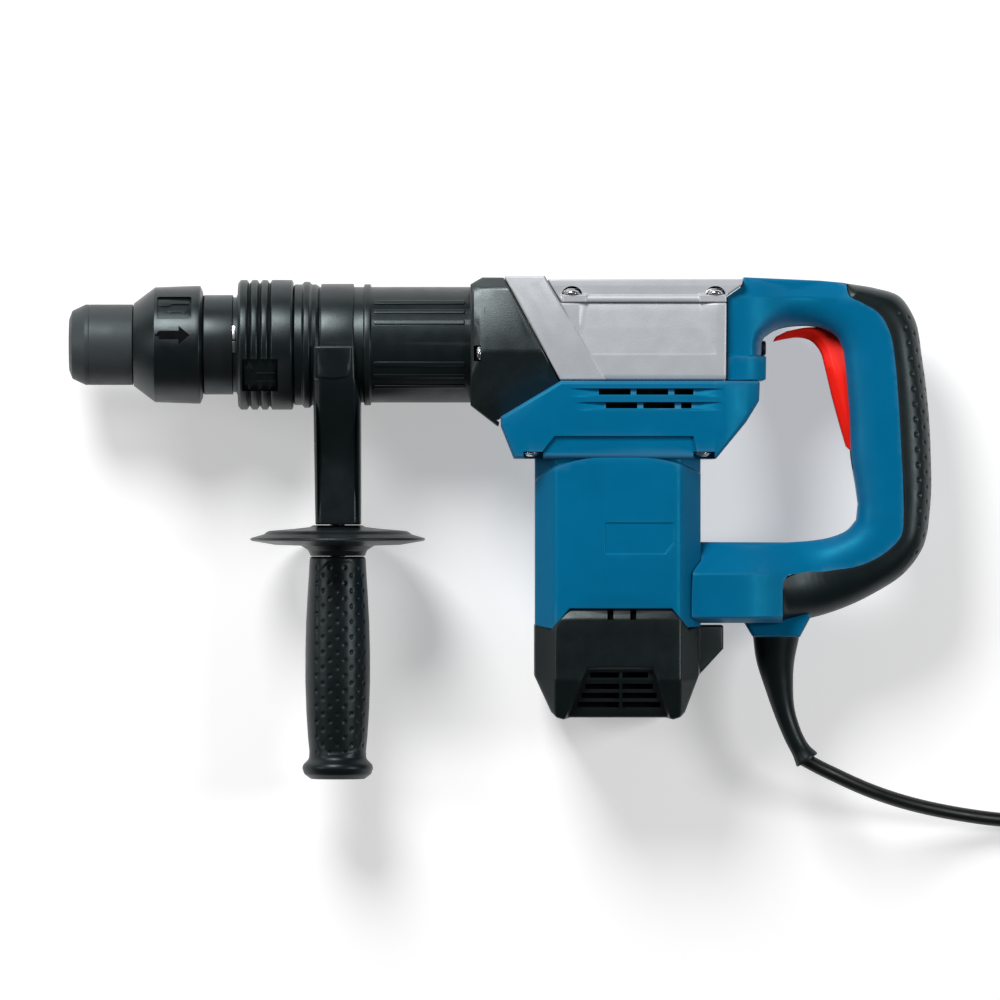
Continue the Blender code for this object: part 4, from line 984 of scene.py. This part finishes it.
def make_motor_housing():
    low, high = -152.8, -61.8  # the motor housing's bottom and top
    side = [
        (254.3, high), (344.5, high), (344.5, low - 0.8), (337.2, low - 1.4), (328.7, -143.9),
        (273.1, -143.9), (263.8, low - 2.2), (254.3, low - 0.4),
    ]
    outline = rounded(side, 0.5, 2, closed=True)
    angles = np.linspace(math.radians(168), math.radians(12), 34)
    arch = [(301.5 + 48.5 * math.cos(t), -79.5 + 18.5 * math.sin(t)) for t in angles]
    plate = [(292.3, -97.4), (329.6, -97.4), (329.6, -108.1), (325.0, -114.2), (292.3, -114.2)]
    plate = rounded(plate, 0.8, 2, closed=True)
    lines = [arch, [(u, v + 0.9) for u, v in arch], [*plate, plate[0]]]
    for offset in (-FACET_A, FACET_A, -36.0, -32.0, 32.0, 36.0):
        lines.append([(MOTOR_A + offset, -62.0), (MOTOR_A + offset, -152.0)])
    body = relief(outline, motor_level, lines=lines, edge=0.7, soft=0.3, grid=6.0)
    item = finish_mesh("motor_casing", body, "blue", 34.0)
    inner = [
        (MOTOR_A + 41, 27.5), (MOTOR_A + 31.5, 41.5), (MOTOR_A - 31.5, 41.5), (MOTOR_A - 41, 27.5),
    ]
    inner += [(a, -s) for a, s in reversed(inner)]
    # The inside and the vent slots take the hollow look: painted shade on their walls.
    cut(item, prism(inner, -160.0, -66.0, "as"), "hollow")
    ribs = []
    for h in np.arange(-100.0, -73.0, 4.2):
        slot = rounded(box_outline((h, h + 2.0), (-9.0, 9.0)), 0.95, 3, closed=True)
        ribs.append(loops([[(a, u, v) for u, v in slot] for a in (343.6, 350.0)]))
    cut(item, ribs, "hollow")
    add(item, "casing", "blue_housing", "motor_housing")


def cap_level(a, h, d):
    """The end cap's side, with its facets, chamfered ends, foot and sunk grille."""
    out = np.abs(a - MOTOR_A)
    level = np.minimum(45.9 - 0.0012 * out**2, 44.6 - (out - FACET_A) * 1.28)
    level = level - np.maximum(-182.6 - h, 0.0) * 0.42
    level = level - np.maximum(h + 149.4, 0.0) * 0.42
    level = np.where(a > 343.8, np.minimum(24.0 - (a - 343.8) * 0.15, 24.0), level)
    grille = (h < -176.0) & (a > 283.1 + (h + 176.0) * 0.425) & (a < 318.0 - (h + 176.0) * 0.335)
    return level - np.where(grille, np.minimum(3.4, (-176.0 - h) * 1.6 + 0.8), 0.0)


def make_end_cap():
    side = [
        (253.9, -152.6), (263.2, -155.2), (272.8, -143.6), (329, -143.6), (338, -155),
        (344.6, -153.2), (357, -153.2), (357, -165.8), (343.5, -180.4), (336, -200.1),
        (333.4, -203, 2), (329.5, -204.3, 2), (325.6, -203.2), (273.4, -203.2), (269.8, -204.3, 2),
        (266.1, -203.2, 2), (263, -200.1), (253.9, -180.4),
    ]
    outline = rounded(side, 0.7, 3, closed=True)
    lines = [
        [(252, -182.6), (346, -182.6)], [(268, -149.4), (334, -149.4)],
        [(343.8, -152), (343.8, -182)],
    ]
    for out in (-FACET_A, FACET_A):
        lines.append([(MOTOR_A + out, -140.0), (MOTOR_A + out, -204.0)])
    lines += [[(271.4, -203.6), (283.1, -176.0), (318.0, -176.0), (327.2, -203.6)]]
    body = relief(outline, cap_level, lines=lines, edge=1.1, soft=0.6, grid=6.0)
    item = finish_mesh("motor_cap", body, "black", 34.0)
    inner = [(MOTOR_A + 40, 27), (MOTOR_A + 31, 40.4), (MOTOR_A - 31, 40.4), (MOTOR_A - 40, 27)]
    inner += [(a, -s) for a, s in reversed(inner)]
    rings = []
    for level, share in ((-140.0, 1.0), (-170.0, 1.0), (-176.5, 0.86)):
        rings.append([(MOTOR_A + (a - MOTOR_A) * share, level, s * share) for a, s in inner])
    # The inside takes the hollow look, and so do the slots below: painted shade on their walls.
    cut(item, loops(rings), "hollow")
    slots = []
    for top in (-178.4, -184.6, -189.6, -194.6):
        reach = 15.2 + (-178.4 - top) * 0.42
        for low, high in ((MOTOR_A - reach, MOTOR_A + 0.6), (MOTOR_A + 2.4, MOTOR_A + reach + 1.2)):
            shape = rounded(box_outline((low, high), (top - 3.0, top)), 0.5, 2, closed=True)
            slots += both_sides(shape, 31.0, 60.0)
    for low in (293.6, 306.0):
        for levels in ((41.2, 60.0), (-60.0, -41.2)):
            slots.append(prism(box_outline((low, low + 3.3), (-149.9, -140.0)), *levels))
    cut(item, slots, "hollow")
    add(item, "casing", "black_plastic", "motor_end_cap")


# D-handle

OUTER = [(367.9, 36.4)] + smooth([(409.8, 34.9), (426.0, 33.3), (440.0, 31.0), (452.6, 27.2)])
OUTER += smooth([(459.6, 19.1), (463.4, 9), (466.2, -6.3), (469.6, -38.9), (470.8, -63)])
OUTER += smooth([(470.6, -84), (469, -101.8), (465, -113.6), (457.4, -123.6), (439.7, -135.8)])
OUTER += smooth([(420.7, -144.6), (404.5, -149.4), (389.2, -151.8)])
INNER = smooth([(379.3, 3.6), (385.3, 7.6), (397.6, 10.2), (410.5, 9), (419.4, 3.6), (422.7, -3.6)])
INNER += smooth([(424.1, -16.2), (426.1, -40.6), (427, -62), (429.4, -76), (430.9, -87)])
INNER += smooth([(430, -95.7), (425.2, -101.2), (417, -104.9), (405.7, -107), (392.1, -108)])
SKIN_EDGE = smooth([(424.2, 36.8), (424.3, 31.5), (425.6, 26.6), (430.8, 23.6), (438.2, 20.4)])
SKIN_EDGE += smooth([(444.6, 14), (448.5, 4.6), (450.8, -9.9), (452.6, -31.6), (454.8, -68)])
SKIN_EDGE += smooth([
    (455.4, -91), (454, -104.5), (446.5, -112.7), (432.9, -120.1), (412.6, -123.8),
])
SKIN_EDGE += smooth([(398.2, -124.9), (392, -126.2), (389.6, -131), (389.2, -140), (389.2, -152.4)])


ROOF_H = 25.6  # above this the handle's sides lean in


def handle_half(a):
    """The handle's half width, wide where it meets the casings and slim at the grip."""
    places, widths = [330, 366, 378, 392, 404, 418, 480], [38.0, 37.6, 34.5, 26.0, 21.0, 19.0, 19.0]
    return sum(np.interp(a + shift, places, widths) for shift in (-7.0, -3.5, 0.0, 3.5, 7.0)) / 5


HOLE = [(339, -107.8), (368, -107.8), *INNER[::-1], (377.9, 1.2), (377.7, -19.8), (377.7, -40)]


def handle_level(a, h, d):
    """The handle's side, rounded towards the hand's opening and chamfered at roof and floor."""
    spots = np.stack([a, h], axis=1)
    wide = handle_half(a)
    edge = distance(spots, HOLE, closed=False)
    radius = 6.0 + 9.5 * ease(a, 377.0, 398.0)
    turn = 1.0 - np.clip(edge / radius, 0.0, 1.0)
    curved = 0.42 + 0.58 * np.sqrt(np.maximum(1.0 - turn**2, 0.0))
    sloped = 0.52 + 0.48 * np.clip((-107.8 - h) / 17.2, 0.0, 1.0)
    arm = np.where(h < -60.0, 1.0 - ease(a, 392.0, 424.0), 0.0)
    level = wide * (sloped * arm + curved * (1.0 - arm))
    roof = wide - np.maximum(h - ROOF_H, 0.0) * (0.42 + 0.3 * ease(a, 372.0, 400.0))
    floor = wide - np.maximum(-148.8 - h, 0.0) * 2.2
    collar = 38.9 - np.clip((a - 366.0) / 14.0, 0.0, 1.0) ** 2 * 7.0
    block = np.minimum.reduce([level, roof, floor])
    return np.where((h < -6.6) & (h > -30.0) & (a < 382.0), collar, block)


def make_handle():
    block = [
        (377.9, 1.2), (377.6, -5.6), (380.1, -6.8), (379.9, -19.2), (378.6, -19.8), (358.7, -19.8),
        (358.9, 25.7), (367.3, 31.8),
    ]
    front = [(344.4, -107.8), (340.0, -124.6), (339.2, -139.3), (339.3, -151.8), (371.0, -151.8)]
    base = [*front[::-1][1:], *INNER[::-1], *block]
    outline = [*OUTER, (371.0, -151.8), *base]
    clean = [outline[0]]
    for point in outline[1:]:
        if (Vector(point) - Vector(clean[-1])).length > 0.25:
            clean.append(point)
    lines = [
        [(366, ROOF_H), (400, ROOF_H), (418, ROOF_H)], [(330, -148.8), (400, -148.8)],
        [(358, -6.6), (382, -6.6)], [(340, -125.2), (372, -125.2), (400, -124.6)],
    ]
    lines += [[(a, -6.8), (a, -20.0)] for a in (366.0, 370.0, 374.0, 377.0)]
    for reach in (1.0, 2.5, 4.5, 7.0, 10.0, 13.5):
        lines.append(inset_open(INNER, -reach))
    for a in (376.9, 375.4, 373.6, 371.9):
        lines.append([(a, 8.0), (a, -6.4)])
    body = relief(clean, handle_level, lines=lines, edge=0.8, soft=0.5, grid=3.2)
    whole = finish_mesh("handle_casing", body, "blue", 40.0)
    skin = [*SKIN_EDGE, (389.2, -175.0), (500.0, -175.0), (500.0, 60.0), (424.2, 60.0)]
    cut(whole, prism(skin, -60.0, 60.0))
    socket = [(368.7, -146.0), (368.7, -151.8), (373.4, -159.6), (398.9, -159.7)]
    socket = rounded([*socket, (404.6, -149.0), (404.6, -146.0)], 0.8, closed=True)
    socket = relief(socket, lambda a, h, d: np.full(a.shape, 14.0), edge=2.0, grid=4.0)
    boolean(whole, "UNION", socket)
    motor = [
        (MOTOR_A + 45.3, 30.2), (MOTOR_A + 34.1, 46.3), (200, 46.3), (200, -46.3),
        (MOTOR_A + 34.1, -46.3), (MOTOR_A + 45.3, -30.2),
    ]
    cut(whole, prism(motor, -170.0, -100.0, "as"))
    channel = [
        (381.5, -3), (381.5, 15), (410, 16), (430, 12), (437.5, 2), (438, -40), (437.5, -67),
        (426, -68.5), (418, -60), (405, -10),
    ]
    # The trigger's channel and the bolt's hole take the hollow look: painted shade on their walls.
    cut(whole, prism(channel, -9.5, 9.5), "hollow")
    hole = [(350.0, 0.0), (350.0, 3.3), (376.0, 3.3), (376.0, 4.3), (384.0, 4.3), (384.0, 0.0)]
    cut(whole, lathe(hole, "a", (-1.9, 0.0), 32, False), "hollow")
    for name, out in (("right", 1), ("left", -1)):
        item = whole.copy()
        item.data = whole.data.copy()
        item.name = f"handle_{name}"
        bpy.context.scene.collection.objects.link(item)
        keep = prism(box_outline((300.0, 500.0), (-200.0, 80.0)), *sorted((out * 0.12, out * 60.0)))
        boolean(item, "INTERSECT", keep)
        add(item, "casing", "blue_housing", f"handle_shell_{name}")
    bpy.data.objects.remove(whole)
    bolt = [
        (361, 0), (361, 2.9), (376.4, 2.9), (376.4, 4), (380, 4, 0.6), (380.6, 3.4), (380.6, 2.2),
        (378.6, 1.9), (378.6, 0),
    ]
    bolt = lathe(rounded(bolt, 0.3), "a", (-1.9, 0.0), 36, False)
    bolt = finish_mesh("rear_bolt", bolt, "dark_steel")
    add(bolt, "casing", "blackened_steel", "handle_bolt")
    make_skin()


def inset_open(line, gap):
    """An open line moved sideways."""
    return beside(line, False, gap)[0][0]


SKIN_INNER = [
    (424.6, 33.2), (425.9, 27), (432.5, 22.9), (441.5, 17.4), (447.4, 8), (450.6, -8),
    (452.6, -31.6), (454.2, -60), (455.5, -91), (454, -104.5), (446.5, -112.7), (432.9, -120.1),
    (412.6, -123.8), (397.5, -125), (390.2, -128.6), (389.5, -137),
]
SKIN_OUTER = [
    (425.3, 33.4), (431, 32.6), (440.5, 30.9), (453.6, 26.4), (461.2, 15.6), (466, -8),
    (469, -31.6), (470.7, -60), (470.4, -88), (466.2, -111), (457.4, -123.6), (439.7, -135.8),
    (418, -145.6), (402, -150), (392, -151.5), (389.5, -151.8),
]


def make_skin():
    """The soft skin of the grip: a strip swept along the handle, with its dimples pressed in."""
    pairs = np.array(resample_pairs(SKIN_INNER, SKIN_OUTER, 0.8))
    inner, outer = pairs[:, 0], pairs[:, 1]
    travelled = np.r_[0.0, np.cumsum(np.linalg.norm(np.diff((inner + outer) / 2, axis=0), axis=1))]
    turns = np.linspace(0.0, math.pi, 73)
    power = 2.0 / 2.5
    rings = []
    length = travelled[-1]
    for at, start, end in zip(travelled, inner, outer):
        wide = float(handle_half(start[0])) + 0.35 - 0.72 * max(start[1] - ROOF_H, 0.0)
        fade = float(ease(at, 0.0, 3.0) * ease(length - at, 0.0, 3.0))
        section = []
        for turn in turns:
            reach = math.sin(turn) ** power
            side = math.copysign(abs(math.cos(turn)) ** power, math.cos(turn))
            section.append((*(start + (end - start) * reach), side * wide))
        section = np.array(section)
        steps = np.linalg.norm(np.diff(section, axis=0), axis=1)
        across = np.r_[0.0, np.cumsum(steps)]
        press = dimple_depth(at, across, across[-1], length) * fade
        tangent = np.gradient(section, axis=0)
        k = int(np.searchsorted(travelled, at))
        ahead, behind = min(k + 1, len(outer) - 1), max(k - 1, 0)
        along = (outer[ahead] + inner[ahead]) - (outer[behind] + inner[behind])
        forward = np.array([*along, 0.0])
        normal = np.cross(tangent, forward)
        normal /= np.maximum(np.linalg.norm(normal, axis=1, keepdims=True), 1e-9)
        middle = np.array([*((start + end) / 2), 0.0])
        flip = np.sign(np.sum(normal * (section - middle), axis=1).mean())
        skin = section - normal * flip * press[:, None]
        direction = np.array([*(start - end), 0.0])
        direction /= max(np.linalg.norm(direction), 1e-9)
        under = section * [1.0, 1.0, (wide - 3.2) / wide]
        depth = np.clip(np.sin(turns), 0.0, 1.0)[:, None] * 3.0
        under = under + direction * depth
        rings.append([tuple(p) for p in skin] + [tuple(p) for p in under[::-1]])
    item = finish_mesh("grip_skin", loops(rings), "grip", 50.0)
    add(item, "casing", "soft_grip", "grip_overmould")


def resample_pairs(first, second, step):
    """Matching points on two smooth lines that are given point by point."""
    a, b = np.array(smooth(first, 12)), np.array(smooth(second, 12))
    middle = (a + b) / 2
    travelled = np.r_[0.0, np.cumsum(np.linalg.norm(np.diff(middle, axis=0), axis=1))]
    at = np.linspace(0.0, travelled[-1], int(travelled[-1] / step) + 1)
    return [
        [np.array([np.interp(t, travelled, c) for c in line.T]) for line in (a, b)]
        for t in at
    ]


def dimple_depth(at, across, girth, length):
    """How deep the skin is pressed in at places across it: staggered columns of dimples."""
    press = np.zeros(len(across))
    pitch, radius, depth = 8.3, 1.25, 0.75
    for k, from_edge in enumerate((9.0, 14.6, 20.2, 25.8)):
        first, last = 30.0 + 7.0 * k, min(length - 92.0 + 14.0 * k, length - 40.0)
        row = round((at - (k % 2) * pitch / 2) / pitch)
        centre = row * pitch + (k % 2) * pitch / 2
        if not first < centre < last:
            continue
        for place in (from_edge, girth - from_edge):
            away = np.hypot(across - place, at - centre)
            press = np.maximum(press, depth * np.clip(1.0 - (away / radius) ** 2, 0.0, 1.0))
    return press


TRIGGER_PIVOT = (431.0, -61.0)


def make_trigger():
    face = smooth([(384.4, 1.6), (391.5, 3.1), (398.9, 3.8), (404.8, 2.2), (409.8, -3), (413, -13)])
    face += smooth([(416.6, -28.4), (420.7, -43.4), (424.2, -55.4)])
    back = [(427.4, -58.4), (428.6, -64.0), (431.0, -65.6), (434.6, -63.6), (435.4, -58.0)]
    back += smooth([(432.4, -40), (430, -14), (426, 1), (418, 7.4), (405, 9.6), (392, 7.4)])
    outline = [*face, *back, (386.0, 4.4)]

    def level(a, h, d):
        off_face = distance(np.stack([a, h], axis=1), face, closed=False)
        return 3.4 + 5.5 * ease(-h, -4.0, 18.0) - 0.5 * np.clip(4.4 - off_face, 0.0, 4.4)

    ridge = inset_open([(float(p[0]), float(p[1])) for p in face], 4.4)
    body = relief(outline, level, lines=[ridge], edge=1.2, grid=3.0, soft=0.3)
    item = finish_mesh("trigger_lever", body, "red")
    cut(item, rod(-20.0, 20.0, 2.3, "s", TRIGGER_PIVOT, 24))
    add(item, "trigger", "red_plastic", "trigger")
    pin = rounded([(-12.3, 0.0), (-12.3, 2.0), (12.3, 2.0), (12.3, 0.0)], 0.4)
    pin = finish_mesh("trigger_axle", lathe(pin, "s", TRIGGER_PIVOT, 24, False), "steel")
    add(pin, "casing", "ground_steel", "trigger_pin")


BOOT_ROUTE = [
    (386.1, -159.4), (385.8, -170.1), (387.6, -185.4), (390.8, -200.7), (393.4, -208.5),
    (396.6, -216), (400.1, -222.2), (403.3, -227.1),
]
BOOT_RADII = [12.7, 10.9, 8.0, 5.8, 5.3, 5.1, 5.4, 7.0]


def make_boot():
    fine = smooth([(*point, radius) for point, radius in zip(BOOT_ROUTE, BOOT_RADII)], 12)
    fine = resample(fine, 1.0)
    route, wide = [point[:2] for point in fine], [point[2] for point in fine]
    wide[-1] -= 0.5
    rings = []
    for i, (a, h) in enumerate(route):
        before, after = Vector(route[max(i - 1, 0)]), Vector(route[min(i + 1, len(route) - 1)])
        along = (after - before).normalized() if i else Vector((0.0, -1.0))
        ring = []
        for k in range(40):
            turn = 2 * math.pi * k / 40
            out = wide[i] * math.cos(turn)
            ring.append((a - along.y * out, h + along.x * out, wide[i] * math.sin(turn)))
        rings.append(ring)
    item = finish_mesh("cord_boot", loops(rings), "rubber")
    add(item, "casing", "black_rubber", "strain_relief")


# Side handle


def make_side_handle():
    band = [
        (STEM_A - 8.9, 31.95), (STEM_A - 8.9, 33.3, 0.5), (STEM_A + 8.9, 33.3, 0.5),
        (STEM_A + 8.9, 31.95),
    ]
    item = finish_mesh("clamp_band", lathe(rounded(band, 0.2, 3, closed=True), sides=128), "black")
    tab = prism(box_outline((STEM_A - 7.5, STEM_A + 7.5), (-46.0, -32.2)), -7.5, 7.5)
    boolean(item, "UNION", tab)
    add(item, "side_handle", "ground_steel", "side_handle_band")

    outline = [
        (134, -0.9), (156, -0.9), (156.4, -18), (159.2, -31), (159.4, -98.3), (134.6, -98.3),
        (133.7, -31),
    ]

    def stem(a, h, d):
        body = 17.2 + 18.6 * ease(h, -68.0, -14.0) + 0.06 * np.maximum(h + 14.0, 0.0)
        pad = (h > -17.2 - 1.6 * (1 - ((a - 144.3) / 9.0) ** 2)) & (h < -2.2)
        pad &= (a > 136.2 + 0.045 * (-h)) & (a < 153.8 - 0.045 * (-h))
        facet = np.maximum(137.4 - a, 0.0) * 0.9 + np.maximum(a - 156.2, 0.0) * 1.1
        return body + np.where(pad, 0.9, 0.0) - facet * (h < -19.0)

    arc = [(153.2 - 17.4 * t, -17.2 - 1.6 * (1 - ((153.2 - 17.4 * t - 144.3) / 9.0) ** 2))
           for t in np.linspace(0, 1, 9)]
    pad = [(136.3, -2.2), (153.7, -2.2), *arc]
    lines = [
        [*pad, pad[0]], [(137.4, -19), (137.4, -99)], [(156.2, -19), (156.2, -99)],
        [(130, -20), (162, -20)],
    ]
    outline = rounded(outline, 0.9, 3, closed=True)
    body = relief(outline, stem, lines=lines, edge=1.4, soft=0.4, grid=5.0)
    item = finish_mesh("handle_bracket", body, "black", 34.0)
    cut(item, rod(110.0, 180.0, 33.6, sides=128))
    hollow = box_outline((STEM_A - 8.2, STEM_A + 8.2), (-110.0, -20.0))
    # The stem's inside takes the hollow look: painted shade on its walls.
    cut(item, prism(hollow, -8.2, 8.2), "hollow")
    add(item, "side_handle", "black_plastic", "side_handle_bracket")

    disc = [
        (-98.6, 4.4), (-98.6, 13.4), (-99.6, 15.2), (-100.6, 24), (-101.7, 37.4, 1),
        (-102.2, 38.6, 0.4), (-103.6, 40.5, 2), (-105.6, 47.4, 0.5), (-106.4, 48, 0.5),
        (-107.2, 47, 1), (-109.4, 34), (-109.8, 20, 3), (-112.4, 16, 3), (-115.4, 15),
        (-115.4, 4.4),
    ]
    disc = lathe(rounded(disc, 0.6, 4, closed=True), "h", (STEM_A, 0.0), 128)
    add(finish_mesh("hand_guard", disc, "black"), "side_handle", "black_plastic", "guard_disc")
    make_side_grip()


def make_side_grip():
    shape = [
        (-115.7, 4.6), (-115.7, 14.4), (-116.6, 15.3, 0.8), (-126, 15.8), (-137, 16.5),
        (-152, 17.3), (-168.5, 17.7), (-184, 17.7), (-199.8, 17.2), (-214, 16.3), (-222, 15.5),
        (-226.2, 15.7, 3), (-229.4, 18.9, 2), (-231.4, 19.4, 1.2), (-234.6, 18.3, 1.6),
        (-236.6, 15.6, 1.5), (-237.3, 14.6, 0.6), (-237.3, 0),
    ]
    shape = rounded(shape, 4.0, 4)
    profile = np.array(shape[:2] + resample(shape[2:-1], 0.75) + [shape[-1]])
    sides = 150
    rings = []
    for h, radius in profile:
        if radius < 1e-6:
            rings.append([(STEM_A, h, 0.0)])
            continue
        ring = []
        for k in range(sides):
            turn = 2 * math.pi * k / sides
            reach = radius - grip_press(h, turn, radius)
            ring.append((STEM_A + reach * math.cos(turn), h, reach * math.sin(turn)))
        rings.append(ring)
    mesh = bmesh.new()
    made = [[mesh.verts.new(p) for p in ring] for ring in rings]
    inner = [mesh.verts.new((STEM_A + 4.6 * math.cos(2 * math.pi * k / sides), -190.0,
                             4.6 * math.sin(2 * math.pi * k / sides))) for k in range(sides)]
    made = [inner, *made]
    mesh.faces.new(inner)
    for first, second in zip(made, made[1:]):
        for i in range(sides):
            j = (i + 1) % sides
            corners = [first[i % len(first)], first[j % len(first)], second[j % len(second)],
                       second[i % len(second)]]
            mesh.faces.new(list(dict.fromkeys(corners)))
    item = finish_mesh("side_grip_rubber", mesh, "rubber", 50.0)
    add(item, "side_grip", "soft_grip", "side_grip")


def grip_press(h, turn, radius):
    """How far the side grip's surface is pressed in: a sunk panel on each side with its dimples."""
    if not -226.0 < h < -116.0 or radius < 12:
        return 0.0
    front = math.pi / 2 if turn < math.pi else 3 * math.pi / 2
    along = (turn - front) * radius * (-1 if turn < math.pi else 1)
    corner = max(0.0, abs(h + 171.0) - 43.0)
    limit = 13.8 - 0.09 * corner**2
    press = 0.0
    if corner < 9.5:
        press = 0.28 * float(1 - ease(abs(along - 1.4), limit - 0.5, limit + 0.4))
    pitch, across = 8.4, 4.15
    column = round(along / across)
    if abs(column - 0.5) > 3.6 or corner > 9.0:
        return press
    row_offset = (column % 2) * pitch / 2
    row = round((h - row_offset) / pitch) * pitch + row_offset
    away = math.hypot(along - column * across, h - row)
    return press + 0.62 * max(0.0, 1.0 - (away / 1.15) ** 2)


# Inner parts seen through openings, and the stage


def dress_inner_parts():
    """Gives the CAD nodes that stay their finishes."""
    looks = {
        "steel": "lock_roller impact_bolt striker wrist_pin crank_pin crank_gear "
                 "crank_bearing_upper crank_bearing_lower armature_shaft "
                 "motor_bearing_upper motor_bearing_lower "
                 "cylinder_tube side_handle_bolt",
        "dark_steel": "crankshaft",
        "silver": "piston connecting_rod bearing_plate",
        "black": "cooling_fan brush_plate switch_body",
        "copper": "armature_winding",
        "laminate": "stator",
        "carbon": "carbon_brush_1 carbon_brush_2",
    }
    for look, names in looks.items():
        for name in names.split():
            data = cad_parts[name].data
            data.materials.clear()
            data.materials.append(MATERIALS[look])


def make_stage():
    floor = bpy.data.meshes.new("floor")
    reach = 15.0
    corners = [(-reach, -reach, 0), (reach, -reach, 0), (reach, reach, 0), (-reach, reach, 0)]
    floor.from_pydata(corners, [], [(0, 1, 2, 3)])
    item = bpy.data.objects.new("floor", floor)
    item.location.z = -0.0002
    bpy.context.scene.collection.objects.link(item)
    made = bpy.data.materials.new("floor")
    made.use_nodes = True
    shader = made.node_tree.nodes["Principled BSDF"]
    shader.inputs["Base Color"].default_value = (0.72, 0.72, 0.72, 1.0)
    shader.inputs["Roughness"].default_value = 0.9
    shader.inputs["Specular IOR Level"].default_value = 0.0
    shader.inputs["Emission Color"].default_value = (1.0, 1.0, 1.0, 1.0)
    shader.inputs["Emission Strength"].default_value = 0.42
    floor.materials.append(made)

    world = bpy.data.worlds.new("studio")
    world.use_nodes = True
    world.node_tree.nodes["Background"].inputs["Color"].default_value = (1.0, 1.0, 1.0, 1.0)
    world.node_tree.nodes["Background"].inputs["Strength"].default_value = 0.06
    bpy.context.scene.world = world
    bpy.context.scene.view_settings.view_transform = "Standard"
    add_light("key", (-0.52, 1.33, 1.30), (0.0, 0.0, 0.05), 0.8, 36.0)
    add_light("left", (-1.45, 0.25, 0.95), (0.0, -0.02, 0.05), 0.5, 5.0)
    add_light("right", (0.95, 0.08, 0.95), (0.22, 0.0, 0.05), 0.35, 5.5)


def add_light(name, place, target, size, power):
    data = bpy.data.lights.new(name, "AREA")
    data.shape, data.size, data.energy = "DISK", size, power
    light = bpy.data.objects.new(name, data)
    light.location = place
    light.rotation_euler = (Vector(place) - Vector(target)).to_track_quat("Z", "Y").to_euler()
    bpy.context.scene.collection.objects.link(light)


make_camera()
make_looks()
make_cord()
make_nose()
make_barrel()
make_front_cover()
make_gear_housing()
make_lid()
make_flange()
make_motor_housing()
make_end_cap()
make_handle()
make_trigger()
make_boot()
make_side_handle()
dress_inner_parts()
make_stage()
